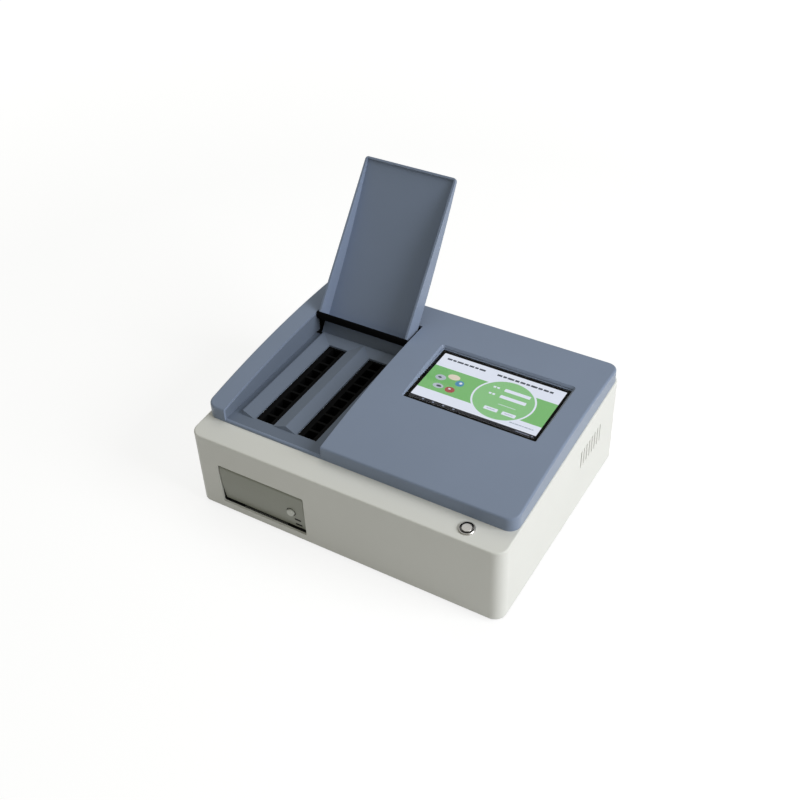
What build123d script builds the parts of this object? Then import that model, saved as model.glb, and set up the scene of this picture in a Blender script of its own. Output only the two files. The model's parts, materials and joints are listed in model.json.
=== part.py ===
"""Bench-top food residue tester: two rows of cuvette wells under a hinged lid, a touch screen
and a small receipt printer, in a moulded case that stands on four rubber feet.

Millimetres. +X is the operator's right, +Y goes to the back and +Z is up. The origin is on the
table, under the middle of the whole object with its lid open. The lid is drawn open.
"""

import os
from math import cos, hypot, radians, sin, sqrt

from build123d import *

# Case
case_width = 400.0
case_depth = 308.0
case_corner = 14.0
case_front_height = 102.5
case_back_height = 118.0
case_wall = 3.0
case_edge_round = 1.8
foot_height = 5.5
foot_radius = 8.0
foot_inset = 30.0
foot_floor = 2.4
plate_thickness = 1.5
plate_gap = 0.4
rear_sheet = 2.0
rear_side = 22.0
rear_bottom = 9.0
rear_top = 92.0
rear_lip = 5.0
rear_corner = 4.0
ledge_depth = 33.0
flange_width = 15.0

# Top cover
cover_inset = 2.0
cover_corner = 13.0
cover_wall = 3.0
cover_front_rise = 17.2
cover_back_rise = 16.4
cover_crown = 7.0
cover_edge_round = 2.6
cover_lip_round = 2.0

# Cuvette bay in the cover
bay_left = -172.5
bay_right = -40.5
bay_wall = 2.5
bay_floor_above_rim = 3.1
bay_floor_thickness = 2.5
trough_after_slots = 14.0
tray_wall_over_trough = 9.0
pivot_behind_trough_front = 15.0
bay_end_behind_pivot = 25.0
trough_depth = 7.5
ridge_height = 4.6
slot_width = 26.5
slot_end_room = 0.5
slot_start = 52.0
slot_middles = (-130.5, -72.5)
left_ridge_x = -160.0
rib_ridge_x = -101.0

# Cuvette blocks
well_count = 10
well_size = 12.7
well_pitch = 15.6
well_depth = 31.0
block_width = 31.0
block_height = 36.0
block_gap = 0.3
beam_hole = 3.2
beam_above_well_floor = 15.0

# Lid
lid_side_gap = 3.2
lid_end_gap = 3.0
lid_front_setback = 1.8
lid_wall = 2.5
lid_tip_depth = 5.0
lid_heel_depth = 25.5
lid_open_angle = 128.0
pivot_below_crown = 10.5
pin_radius = 2.0
pin_clearance = 0.05
end_wall_behind_pivot = 3.0
boss_radius = 5.0
lid_corner_round = 9.0
lid_tip_round = 4.0

# Touch screen
glass_width = 165.0
glass_depth = 97.0
glass_thickness = 1.8
glass_left = 2.0
glass_front_distance = 142.5
recess_front_depth = 1.5
recess_taper = 38.0
screen_lip = 4.0
screen_frame = 7.0
panel_margin = 4.5
panel_thickness = 5.0
gasket_thickness = 0.8
bracket_thickness = 1.2

# Power button
button_x = 150.0
button_distance = 17.5
button_hole = 16.2
button_thread_play = 0.2
bezel_overlap = 1.1
bezel_height = 1.8
bezel_rim = 1.3
channel_floor = 0.3
cap_radius = 5.8
cap_proud = 0.4
button_travel = 1.5
button_body_length = 26.0

# Printer
door_left = -164.5
door_right = -47.5
door_bottom_above_case = 11.6
door_top_above_case = 66.0
door_gap = 0.5
slot_gap = 2.4
door_thickness = 3.0
door_setback = 0.3
door_sweep = 4.6
door_bevel = 1.2
door_axis_depth = 4.6
door_pin_radius = 1.2
door_swing = 80.0
housing_wall = 1.6
housing_depth = 56.0
paper_width = 57.0
paper_radius = 20.0
roll_distance = 36.5
roll_above_case = 42.5
core_radius = 6.5
core_thickness = 1.5
roller_radius = 5.0
shaft_radius = 2.0
latch_x = -66.2
latch_above_case = 37.1
latch_radius = 4.8
latch_proud = 1.6
latch_travel = 2.0
window_width = 6.6
window_height = 2.0

# Back panel
fan_size = 60.0
fan_depth = 15.0
fan_x = 40.0
fan_above_case = 52.0
inlet_x = 150.0
inlet_above_case = 34.0
rocker_x = 112.0
ports_x = -60.0
ports_above_case = 34.0
port_plate_thickness = 1.0
port_plate_lap = 3.0
port_plate_ear = 7.0
port_cut_room = 3.0

# Moulded louvre grooves on both sides
vent_count = 8
vent_pitch = 7.6
vent_width = 3.0
vent_height = 26.0
vent_start = 200.0
vent_above_case = 72.0
vent_depth = 1.0

# Boards
board_thickness = 1.6
board_width = 150.0
board_depth = 120.0
board_x = 100.0
board_distance = 120.0
board_rise = 8.0
supply_x = 145.0
supply_distance = 230.0
supply_width = 82.0
supply_depth = 80.0
supply_height = 34.0
port_board_depth = 42.0

# Fits
fit_gap = 0.3
running_gap = 0.05
screw_radius = 1.5
screw_head = 2.8
screw_pilot = 1.25
head_height = 1.8
spindle_radius = core_radius - running_gap

os.makedirs("parts", exist_ok=True)


def save(piece, name):
    """Label a finished piece and write its file."""
    piece.part.label = name
    export_step(piece.part, f"parts/{name}.step")


# Worked-out places
slot_length = well_count * well_pitch + 2 * slot_end_room
trough_start = slot_start + slot_length + trough_after_slots
pivot_distance = trough_start + pivot_behind_trough_front
bay_end = pivot_distance + bay_end_behind_pivot
panel_width = glass_width - 2 * panel_margin
panel_depth = glass_depth - 2 * panel_margin
button_thread = button_hole - 2 * button_thread_play
bezel_radius = button_hole / 2 + bezel_overlap
rim_slope = (case_back_height - case_front_height) / case_depth
cover_start = ledge_depth
cover_end = case_depth - cover_inset
half_cover = case_width / 2 - cover_inset


def rim_z(distance):
    """Height of the case's sloping rim, a distance behind the front face."""
    return foot_height + case_front_height + rim_slope * distance


crown_a = (cover_start, rim_z(cover_start) + cover_front_rise)
crown_b = (cover_end, rim_z(cover_end) + cover_back_rise)
chord = hypot(crown_b[0] - crown_a[0], crown_b[1] - crown_a[1])
crown_radius = (chord**2 / 4 + cover_crown**2) / (2 * cover_crown)
chord_dir = ((crown_b[0] - crown_a[0]) / chord, (crown_b[1] - crown_a[1]) / chord)
crown_centre = (
    (crown_a[0] + crown_b[0]) / 2 + chord_dir[1] * (crown_radius - cover_crown),
    (crown_a[1] + crown_b[1]) / 2 - chord_dir[0] * (crown_radius - cover_crown),
)


def crown_z(distance, below=0.0):
    """Height of the crowned top, or of a surface a given depth below it."""
    radius = crown_radius - below
    return crown_centre[1] + sqrt(radius**2 - (distance - crown_centre[0]) ** 2)


pivot_z = crown_z(pivot_distance) - pivot_below_crown
lid_tip = cover_start + lid_front_setback
lid_heel = bay_end - lid_end_gap
swing = radians(lid_open_angle)
tip_u = lid_tip - pivot_distance
tip_v = crown_z(lid_tip) - pivot_z
open_reach = pivot_distance + tip_u * cos(swing) + tip_v * sin(swing)
front_y = -open_reach / 2


def back(distance):
    """Y of a place that lies a distance behind the case's front face."""
    return front_y + distance


case_mid_y = back(case_depth / 2)
back_y = back(case_depth)
plate_top = foot_height + plate_gap + plate_thickness
bay_floor_z = rim_z(cover_start) + bay_floor_above_rim
trough_floor_z = bay_floor_z - trough_depth
ledge_plane = Plane(
    origin=(button_x, back(button_distance), rim_z(button_distance)),
    x_dir=(1, 0, 0),
    z_dir=(0, -rim_slope, 1),
)


def side_plane(x):
    """Upright plane across the object, with local x along +Y and local y up."""
    return Plane(origin=(x, 0, 0), x_dir=(0, 1, 0), z_dir=(1, 0, 0))


def rear_plane(y):
    """Upright plane seen from the back, with local x along -X and local y up."""
    return Plane(origin=(0, y, 0), x_dir=(-1, 0, 0), z_dir=(0, 1, 0))


def front_plane(y):
    """Upright plane seen from the front, with local x along +X and local y up."""
    return Plane(origin=(0, y, 0), x_dir=(1, 0, 0), z_dir=(0, -1, 0))


# Base case
flange_x = case_width / 2 - case_wall - flange_width
flange_front = cover_start + 11.0
flange_back = case_depth - case_wall - flange_width
boss_block = 12.0
boss_reach = 26.0
plate_screw_places = [
    (sx * (case_width / 2 - case_wall - boss_block / 2), back(d))
    for sx in (-1, 1)
    for d in (24.0, case_depth / 2, case_depth - 24.0)
]
cover_screw_places = [
    (sx * (half_cover - cover_wall - 6.0), d)
    for sx in (-1, 1)
    for d in (cover_start + 20.0, case_depth / 2, cover_end - 16.0)
]
door_bottom_z = foot_height + door_bottom_above_case
door_top_z = foot_height + door_top_above_case
opening_bottom_z = door_bottom_z - slot_gap
opening_top_z = door_top_z + door_gap
fan_z = foot_height + fan_above_case
inlet_z = foot_height + inlet_above_case
ports_z = foot_height + ports_above_case
inlet_width = 27.4
inlet_height = 19.8
rocker_width = 19.2
rocker_height = 12.9
usb_size = (14.6, 7.0)
usb_pitch = 20.0
network_size = (16.4, 13.8)
network_x = ports_x - 34.0
network_z = ports_z + (network_size[1] - usb_size[1]) / 2
port_cut_left = network_x - network_size[0] / 2 - port_cut_room
port_cut_right = ports_x + (usb_pitch + usb_size[0]) / 2 + port_cut_room
port_cut_low = ports_z - usb_size[1] / 2 - port_cut_room
port_cut_high = network_z + network_size[1] / 2 + port_cut_room
port_cut_x = (port_cut_left + port_cut_right) / 2
port_cut_z = (port_cut_low + port_cut_high) / 2
port_plate_screws = [(x, port_cut_z) for x in (port_cut_left - port_plate_ear / 2, port_cut_right + port_plate_ear / 2)]
rear_width = case_width - 2 * rear_side
rear_height = rear_top - rear_bottom
rear_mid_z = foot_height + (rear_bottom + rear_top) / 2
rear_screw_places = [
    (x, rear_mid_z + sz * (rear_height / 2 - 4.0)) for x in (-rear_width / 2 + 4.0, 0, rear_width / 2 - 4.0) for sz in (-1, 1)
]

with BuildPart() as case_cavity:
    with BuildSketch(side_plane(0)):
        with BuildLine():
            Polyline(
                (back(0) + case_wall, foot_height - 1),
                (back_y - case_wall, foot_height - 1),
                (back_y - case_wall, rim_z(case_depth - case_wall) - case_wall),
                (back(0) + case_wall, rim_z(case_wall) - case_wall),
                close=True,
            )
        make_face()
    extrude(amount=case_width / 2 - case_wall, both=True)
    fillet(case_cavity.edges().filter_by(Axis.Z), case_corner - case_wall)

with BuildPart() as base_case:
    with BuildSketch(side_plane(0)):
        with BuildLine():
            Polyline(
                (back(0), foot_height),
                (back_y, foot_height),
                (back_y, rim_z(case_depth)),
                (back(0), rim_z(0)),
                close=True,
            )
        make_face()
    extrude(amount=case_width / 2, both=True)
    with BuildSketch(Plane.XY):
        with Locations((0, case_mid_y)):
            RectangleRounded(case_width, case_depth, case_corner)
    extrude(amount=rim_z(case_depth) + 10, mode=Mode.INTERSECT)
    rim_face = base_case.faces().sort_by(Axis.Z)[-1]
    fillet(rim_face.edges(), case_edge_round)
    add(case_cavity.part, mode=Mode.SUBTRACT)
    with BuildSketch(Plane.XY.offset(rim_z(0) - 2 * case_wall)):
        with Locations((0, back((flange_front + flange_back) / 2))):
            RectangleRounded(2 * flange_x, flange_back - flange_front, 8.0)
    extrude(amount=60, mode=Mode.SUBTRACT)
    with BuildSketch(Plane.XY.offset(plate_top + fit_gap)):
        with Locations(*plate_screw_places):
            Rectangle(boss_block, boss_block)
    extrude(amount=boss_reach)
    with BuildSketch(Plane.XY.offset(plate_top + fit_gap)):
        with Locations(*plate_screw_places):
            Circle(screw_pilot)
    extrude(amount=12, mode=Mode.SUBTRACT)
    with BuildSketch(Plane.XY.offset(rim_z(0) - 2 * case_wall)):
        with Locations(*[(x, back(d)) for x, d in cover_screw_places]):
            Circle(screw_radius + 0.2)
    extrude(amount=60, mode=Mode.SUBTRACT)
    with BuildSketch(front_plane(back(0))):
        with Locations(((door_left + door_right) / 2, (opening_bottom_z + opening_top_z) / 2)):
            RectangleRounded(
                door_right - door_left + 2 * door_gap, opening_top_z - opening_bottom_z, 2.0
            )
    extrude(amount=-2 * case_wall, mode=Mode.SUBTRACT)
    with BuildSketch(ledge_plane):
        Circle(button_hole / 2)
    extrude(amount=-2 * case_wall, mode=Mode.SUBTRACT)
    for x, way in ((case_width / 2, -1), (-case_width / 2, 1)):
        with BuildSketch(side_plane(x)):
            with Locations((back(vent_start + vent_pitch * (vent_count - 1) / 2), foot_height + vent_above_case)):
                with GridLocations(vent_pitch, 1, vent_count, 1):
                    SlotOverall(vent_height, vent_width, rotation=90)
        extrude(amount=way * vent_depth, mode=Mode.SUBTRACT)
    with BuildSketch(rear_plane(back_y)):
        with Locations((0, rear_mid_z)):
            RectangleRounded(rear_width, rear_height, rear_corner)
    extrude(amount=-rear_sheet, mode=Mode.SUBTRACT)
    with BuildSketch(rear_plane(back_y)):
        with Locations((0, rear_mid_z)):
            RectangleRounded(rear_width - 2 * rear_lip, rear_height - 2 * rear_lip, rear_corner)
    extrude(amount=-2 * case_wall, mode=Mode.SUBTRACT)
    with BuildSketch(rear_plane(back_y - rear_sheet)):
        with Locations(*rear_screw_places):
            Circle(4.0)
    extrude(amount=-8.0)
    with BuildSketch(rear_plane(back_y - rear_sheet)):
        with Locations(*rear_screw_places):
            Circle(screw_pilot)
    extrude(amount=-7.0, mode=Mode.SUBTRACT)
save(base_case, "base_case")

# Rear panel: a coated steel sheet that carries the fan, the inlet, the switch and the ports
with BuildPart() as rear_panel:
    with BuildSketch(rear_plane(back_y)):
        with Locations((0, rear_mid_z)):
            RectangleRounded(rear_width - fit_gap, rear_height - fit_gap, rear_corner)
        with Locations(*rear_screw_places):
            Circle(screw_radius + 0.1, mode=Mode.SUBTRACT)
        with Locations((-fan_x, fan_z)):
            Circle(fan_size / 2 - 2.0, mode=Mode.SUBTRACT)
            with GridLocations(fan_size - 10.0, fan_size - 10.0, 2, 2):
                Circle(screw_radius + 0.3, mode=Mode.SUBTRACT)
        with Locations((-inlet_x, inlet_z)):
            Rectangle(inlet_width, inlet_height, mode=Mode.SUBTRACT)
            with GridLocations(40.0, 1, 2, 1):
                Circle(screw_pilot, mode=Mode.SUBTRACT)
        with Locations((-rocker_x, inlet_z)):
            Rectangle(rocker_width, rocker_height, mode=Mode.SUBTRACT)
        with Locations((-port_cut_x, port_cut_z)):
            Rectangle(port_cut_right - port_cut_left, port_cut_high - port_cut_low, mode=Mode.SUBTRACT)
        with Locations(*[(-x, z) for x, z in port_plate_screws]):
            Circle(screw_pilot, mode=Mode.SUBTRACT)
    extrude(amount=-rear_sheet)
save(rear_panel, "rear_panel")

# Port plate: a thin sheet over the rear panel's cut-out, with a close hole for each port
with BuildPart() as port_plate:
    with BuildSketch(rear_plane(back_y)):
        with Locations((-port_cut_x, port_cut_z)):
            Rectangle(
                port_cut_right - port_cut_left + 2 * port_plate_ear, port_cut_high - port_cut_low + 2 * port_plate_lap
            )
        with Locations(*[(-x, z) for x, z in port_plate_screws]):
            Circle(screw_radius + 0.1, mode=Mode.SUBTRACT)
        with Locations((-ports_x, ports_z)):
            with GridLocations(usb_pitch, 1, 2, 1):
                Rectangle(usb_size[0] + 2 * fit_gap, usb_size[1] + 2 * fit_gap, mode=Mode.SUBTRACT)
        with Locations((-network_x, network_z)):
            Rectangle(network_size[0] + 2 * fit_gap, network_size[1] + 2 * fit_gap, mode=Mode.SUBTRACT)
    extrude(amount=port_plate_thickness)
save(port_plate, "port_plate")

# Top cover
floor_under = bay_floor_z - bay_floor_thickness
trough_under = trough_floor_z - bay_floor_thickness
front_inner = cover_start + cover_wall
cover_mid_y = back((cover_start + cover_end) / 2)
cover_length = cover_end - cover_start
glass_top_z = crown_z(glass_front_distance) - recess_front_depth
glass_mid_x = glass_left + glass_width / 2
glass_mid_y = back(glass_front_distance + glass_depth / 2)
glass_under_z = glass_top_z - glass_thickness
cover_boss_radius = 4.0
panel_top_z = glass_under_z - 2 * running_gap
panel_under_z = panel_top_z - panel_thickness
bracket_screw_x = glass_width / 2 + 3.6
bracket_screw_y = glass_depth / 2 - 12.0
bracket_boss = 2.6

with BuildPart() as cover_cavity:
    with BuildSketch(side_plane(0)):
        with BuildLine():
            Polyline(
                (back(front_inner), crown_z(front_inner, cover_wall)),
                (back(front_inner), rim_z(cover_start) - 20),
                (back(cover_end - cover_wall), rim_z(cover_start) - 20),
                (back(cover_end - cover_wall), crown_z(cover_end - cover_wall, cover_wall)),
            )
            ThreePointArc(
                (back(cover_end - cover_wall), crown_z(cover_end - cover_wall, cover_wall)),
                (cover_mid_y, crown_z((cover_start + cover_end) / 2, cover_wall)),
                (back(front_inner), crown_z(front_inner, cover_wall)),
            )
        make_face()
    extrude(amount=half_cover - cover_wall, both=True)
    fillet(cover_cavity.edges().filter_by(Axis.Z), cover_corner - cover_wall)

with BuildPart() as bay_space:
    with BuildSketch(side_plane(bay_left)):
        with BuildLine():
            Polyline(
                (back(cover_start - 5), bay_floor_z),
                (back(trough_start), bay_floor_z),
                (back(trough_start), trough_floor_z),
                (back(bay_end), trough_floor_z),
                (back(bay_end), crown_z(bay_end) + 30),
                (back(cover_start - 5), crown_z(bay_end) + 30),
                close=True,
            )
        make_face()
    extrude(amount=bay_right - bay_left)

tray_wall_end = trough_start + tray_wall_over_trough
ridge_start = slot_start - 1.5
ridge_end = trough_start
left_slot_edges = [x - slot_width / 2 for x in slot_middles]
right_slot_edges = [x + slot_width / 2 for x in slot_middles]

with BuildPart() as bay_ridges:
    with BuildSketch(front_plane(back(ridge_start))):
        with BuildLine():
            Polyline(
                (left_ridge_x - 1.2, bay_floor_z - 1),
                (left_ridge_x - 1.2, bay_floor_z + ridge_height),
                (left_ridge_x, bay_floor_z + ridge_height),
                (left_slot_edges[0] - 0.4, bay_floor_z),
                (left_slot_edges[0] - 0.4, bay_floor_z - 1),
                close=True,
            )
        make_face()
        with BuildLine():
            Polyline(
                (right_slot_edges[0] + 0.4, bay_floor_z - 1),
                (right_slot_edges[0] + 0.4, bay_floor_z),
                (rib_ridge_x, bay_floor_z + ridge_height),
                (left_slot_edges[1] - 0.4, bay_floor_z),
                (left_slot_edges[1] - 0.4, bay_floor_z - 1),
                close=True,
            )
        make_face()
    extrude(amount=-(ridge_end - ridge_start))
    with BuildSketch(side_plane(bay_left)):
        with BuildLine():
            Polyline(
                (back(ridge_start) - 0.1, bay_floor_z),
                (back(ridge_start) - 0.1, bay_floor_z + 2 * ridge_height),
                (back(ridge_start) + ridge_height, bay_floor_z + 2 * ridge_height),
                close=True,
            )
        make_face()
    extrude(amount=bay_right - bay_left, mode=Mode.SUBTRACT)
    with BuildSketch(side_plane(left_ridge_x - 1.2)):
        with BuildLine():
            Polyline(
                (back(slot_start + slot_length), bay_floor_z - 1),
                (back(slot_start + slot_length), bay_floor_z),
                (back(trough_start), bay_floor_z + ridge_height),
                (back(trough_start), bay_floor_z - 1),
                close=True,
            )
        make_face()
    extrude(amount=bay_right - lid_side_gap - lid_wall - 1.0 - left_ridge_x + 1.2)

with BuildPart() as top_cover:
    with BuildSketch(side_plane(0)):
        with BuildLine():
            Polyline(
                (back(cover_start), crown_z(cover_start)),
                (back(cover_start), rim_z(cover_start)),
                (back(cover_end), rim_z(cover_end)),
                (back(cover_end), crown_z(cover_end)),
            )
            ThreePointArc(
                (back(cover_end), crown_z(cover_end)),
                (cover_mid_y, crown_z((cover_start + cover_end) / 2)),
                (back(cover_start), crown_z(cover_start)),
            )
        make_face()
    extrude(amount=half_cover, both=True)
    fillet(top_cover.edges().filter_by(Axis.Z), cover_corner)
    crown_face = top_cover.faces().filter_by(GeomType.CYLINDER).sort_by(SortBy.AREA)[-1]
    fillet(crown_face.edges(), cover_edge_round)
    add(cover_cavity.part, mode=Mode.SUBTRACT)
    add(bay_space.part, mode=Mode.SUBTRACT)
    lip_middle = ((bay_left + bay_right) / 2, back(cover_start), bay_floor_z)
    fillet(top_cover.edges().filter_by(Axis.X).sort_by_distance(lip_middle)[0], cover_lip_round)
    with BuildSketch(Plane.XY.offset(glass_under_z - cover_wall)):
        with Locations((glass_mid_x, glass_mid_y)):
            Rectangle(glass_width + 2 * screen_frame, glass_depth + 2 * screen_frame)
    extrude(amount=cover_wall + glass_thickness + gasket_thickness)
    with BuildSketch(Plane.XY.offset(panel_under_z)):
        with Locations((glass_mid_x, glass_mid_y)):
            with GridLocations(2 * bracket_screw_x, 2 * bracket_screw_y, 2, 2):
                Circle(bracket_boss)
    extrude(amount=glass_under_z - cover_wall - panel_under_z)
    with BuildSketch(Plane.XY.offset(panel_under_z)):
        with Locations((glass_mid_x, glass_mid_y)):
            with GridLocations(2 * bracket_screw_x, 2 * bracket_screw_y, 2, 2):
                Circle(screw_pilot)
    extrude(amount=4.2, mode=Mode.SUBTRACT)
    for x, d in cover_screw_places:
        boss_foot = Plane.XY.offset(rim_z(d) + fit_gap)
        with BuildSketch(boss_foot):
            with Locations((x, back(d))):
                Circle(cover_boss_radius)
        extrude(amount=crown_z(d, cover_wall / 2) - rim_z(d) - fit_gap)
        with BuildSketch(boss_foot):
            with Locations((x, back(d))):
                Circle(screw_pilot)
        extrude(amount=10, mode=Mode.SUBTRACT)
    with BuildSketch(Plane.XY.offset(glass_top_z)):
        with Locations((glass_mid_x, glass_mid_y)):
            RectangleRounded(glass_width + 0.6, glass_depth + 0.6, 1.0)
    extrude(amount=12, taper=-recess_taper, mode=Mode.SUBTRACT)
    with BuildSketch(Plane.XY.offset(glass_under_z - gasket_thickness)):
        with Locations((glass_mid_x, glass_mid_y)):
            RectangleRounded(glass_width + 0.6, glass_depth + 0.6, 1.0)
    extrude(amount=12, mode=Mode.SUBTRACT)
    with BuildSketch(Plane.XY.offset(glass_under_z - 20)):
        with Locations((glass_mid_x, glass_mid_y)):
            Rectangle(glass_width - 2 * screen_lip, glass_depth - 2 * screen_lip)
    extrude(amount=30, mode=Mode.SUBTRACT)
save(top_cover, "top_cover")

# Bay tray: floor, side walls and ridges, under the opening in the cover
with BuildPart() as bay_tray:
    with BuildSketch(side_plane(bay_left - bay_wall)):
        with BuildLine():
            Polyline(
                (back(front_inner), floor_under),
                (back(trough_start), floor_under),
                (back(trough_start), bay_floor_z),
                (back(tray_wall_end), bay_floor_z),
                (back(tray_wall_end), crown_z(trough_start) + 10),
                (back(front_inner), crown_z(trough_start) + 10),
                close=True,
            )
        make_face()
    extrude(amount=bay_right - bay_left + 2 * bay_wall)
    add(cover_cavity.part, mode=Mode.INTERSECT)
    add(bay_space.part, mode=Mode.SUBTRACT)
    add(bay_ridges.part)
    with BuildSketch(Plane.XY.offset(floor_under - 1)):
        with Locations(*[(x, back(slot_start + slot_length / 2)) for x in slot_middles]):
            Rectangle(slot_width, slot_length)
    extrude(amount=20, mode=Mode.SUBTRACT)
save(bay_tray, "bay_tray")

# Hinge trough: the dark well behind the tray that the lid's heel swings down into
with BuildPart() as hinge_trough:
    with BuildSketch(side_plane(bay_left - bay_wall)):
        with BuildLine():
            Polyline(
                (back(trough_start - bay_wall), floor_under),
                (back(trough_start - bay_wall), trough_under),
                (back(bay_end + bay_wall), trough_under),
                (back(bay_end + bay_wall), crown_z(trough_start) + 10),
                (back(tray_wall_end), crown_z(trough_start) + 10),
                (back(tray_wall_end), bay_floor_z),
                (back(trough_start), bay_floor_z),
                (back(trough_start), floor_under),
                close=True,
            )
        make_face()
    extrude(amount=bay_right - bay_left + 2 * bay_wall)
    add(cover_cavity.part, mode=Mode.INTERSECT)
    add(bay_space.part, mode=Mode.SUBTRACT)
    with BuildSketch(side_plane(bay_left - bay_wall)):
        with Locations((back(pivot_distance), pivot_z)):
            Circle(pin_radius)
    extrude(amount=bay_right - bay_left + 2 * bay_wall, mode=Mode.SUBTRACT)
save(hinge_trough, "hinge_trough")


def make_screws(seats, length, radius=screw_pilot - 0.02):
    """Pan-head screws: each head stands along its plane's normal, its shank goes the other way."""
    with BuildPart() as screws:
        for seat in seats:
            with BuildSketch(seat):
                Circle(screw_head)
            extrude(amount=head_height)
            with BuildSketch(seat):
                Circle(radius)
            extrude(amount=-length)
            with BuildSketch(seat.offset(head_height)):
                Rectangle(3.4, 0.7)
                Rectangle(0.7, 3.4)
            extrude(amount=-0.8, mode=Mode.SUBTRACT)
    return screws


def seats_below(places, z):
    """Screw seats at one height, with the heads pointing down."""
    return [Plane(origin=(x, y, z), z_dir=(0, 0, -1)) for x, y in places]


# Base plate, feet and their screws
plate_under = foot_height + plate_gap
foot_places = [
    (sx * (case_width / 2 - foot_inset), back(d))
    for sx in (-1, 1)
    for d in (foot_inset, case_depth - foot_inset)
]
block_mid_y = back(slot_start + slot_length / 2)
post_places = [(x, block_mid_y + sy * 60.0) for x in slot_middles for sy in (-1, 1)]
board_mid = (board_x, back(board_distance))
board_hole_x = board_width / 2 - 5.0
board_hole_y = board_depth / 2 - 5.0
board_hole_places = [
    (board_x + sx * board_hole_x, back(board_distance) + sy * board_hole_y) for sx in (-1, 1) for sy in (-1, 1)
]
supply_screw_places = [
    (supply_x + sx * (supply_width / 2 - 8.0), back(supply_distance) + sy * (supply_depth / 2 - 8.0))
    for sx in (-1, 1)
    for sy in (-1, 1)
]
port_board_left = network_x - 22.0
port_board_right = ports_x + usb_pitch / 2 + 18.0
port_board_front = case_depth - case_wall - fit_gap - port_board_depth
port_post_places = [
    (x, back(d))
    for x in (port_board_left + 5.0, port_board_right - 5.0)
    for d in (port_board_front + 5.0, port_board_front + port_board_depth - 5.0)
]
housing_left = door_left - door_gap - housing_wall
housing_right = door_right + door_gap + housing_wall
housing_front = case_wall + fit_gap
housing_back = housing_front + housing_depth
housing_foot_places = [
    (x, back(d)) for x in (housing_left + 10.0, housing_right - 10.0) for d in (housing_front + 10.0, housing_back - 8.0)
]

with BuildPart() as base_plate:
    with BuildSketch(Plane.XY.offset(plate_under)):
        with Locations((0, case_mid_y)):
            RectangleRounded(
                case_width - 2 * (case_wall + fit_gap),
                case_depth - 2 * (case_wall + fit_gap),
                case_corner - case_wall - fit_gap,
            )
    extrude(amount=plate_thickness)
    with BuildSketch(Plane.XY.offset(plate_under)):
        with Locations(*plate_screw_places, *post_places):
            Circle(screw_radius + 0.1)
        with Locations(*foot_places):
            Circle(screw_pilot)
        with Locations(board_mid):
            with GridLocations(2 * board_hole_x, 2 * board_hole_y, 2, 2):
                Circle(screw_radius + 0.1)
        with Locations(*supply_screw_places, *port_post_places, *housing_foot_places):
            Circle(screw_radius + 0.1)
        with Locations((fan_x - 8.0, back(case_depth - 75.0))):
            with GridLocations(9.0, 1, 11, 1):
                SlotOverall(34.0, 3.5, rotation=90)
    extrude(amount=plate_thickness, mode=Mode.SUBTRACT)
save(base_plate, "base_plate")

with BuildPart() as rubber_feet:
    with BuildSketch(Plane.XY):
        with Locations(*foot_places):
            Circle(foot_radius)
    extrude(amount=plate_under)
    chamfer(rubber_feet.faces().sort_by(Axis.Z)[:4].edges(), 0.8)
    with BuildSketch(Plane.XY):
        with Locations(*foot_places):
            Circle(screw_head + 0.3)
    extrude(amount=plate_under - foot_floor, mode=Mode.SUBTRACT)
    with BuildSketch(Plane.XY):
        with Locations(*foot_places):
            Circle(screw_radius + 0.1)
    extrude(amount=plate_under, mode=Mode.SUBTRACT)
save(rubber_feet, "rubber_feet")

foot_screws = make_screws(seats_below(foot_places, plate_under - foot_floor), foot_floor + plate_thickness)
save(foot_screws, "foot_screws")

plate_screws = make_screws(
    seats_below(
        plate_screw_places + post_places + supply_screw_places + housing_foot_places, plate_under
    ),
    6.0,
)
save(plate_screws, "plate_screws")

cover_seats = [
    Plane(origin=(x, back(d), rim_z(d) - case_wall - fit_gap), z_dir=(0, 0, -1)) for x, d in cover_screw_places
]
cover_screws = make_screws(cover_seats, 10.0)
save(cover_screws, "cover_screws")

# Cuvette blocks with their lamp and sensor boards
block_top = floor_under - block_gap
block_bottom = block_top - block_height
block_length = well_pitch * well_count + 7.0
beam_z = block_top - well_depth + beam_above_well_floor
optics_gap = 3.0
optics_board = (block_length - 3.0, 24.0)
spacer_reach = block_length / 2 - 6.0
well_ys = [block_mid_y + (i - (well_count - 1) / 2) * well_pitch for i in range(well_count)]


def make_block(x):
    """One black block with its row of square wells and the beam holes across them."""
    with BuildPart() as block:
        with BuildSketch(Plane.XY.offset(block_bottom)):
            with Locations((x, block_mid_y)):
                Rectangle(block_width, block_length)
        extrude(amount=block_height)
        chamfer(block.edges().filter_by(Axis.Z), 1.5)
        with BuildSketch(Plane.XY.offset(block_top)):
            with Locations(*[(x, y) for y in well_ys]):
                RectangleRounded(well_size, well_size, 0.8)
        extrude(amount=-well_depth, mode=Mode.SUBTRACT)
        with BuildSketch(side_plane(x - block_width / 2)):
            with Locations(*[(y, beam_z) for y in well_ys]):
                Circle(beam_hole / 2)
        extrude(amount=block_width, mode=Mode.SUBTRACT)
        with BuildSketch(Plane.XY.offset(block_bottom)):
            with Locations(*[(px, py) for px, py in post_places if px == x]):
                Circle(screw_pilot)
        extrude(amount=4, mode=Mode.SUBTRACT)
    return block


for name, x in zip(("left_cuvette_block", "right_cuvette_block"), slot_middles):
    save(make_block(x), name)


def make_boards(side):
    """The two upright boards on one side of the blocks: -1 for the lamps, 1 for the sensors."""
    with BuildPart() as boards:
        for x in slot_middles:
            face = x + side * (block_width / 2 + optics_gap)
            with BuildSketch(side_plane(face)):
                with Locations((block_mid_y, beam_z)):
                    Rectangle(*optics_board)
            extrude(amount=side * board_thickness)
    return boards


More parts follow.
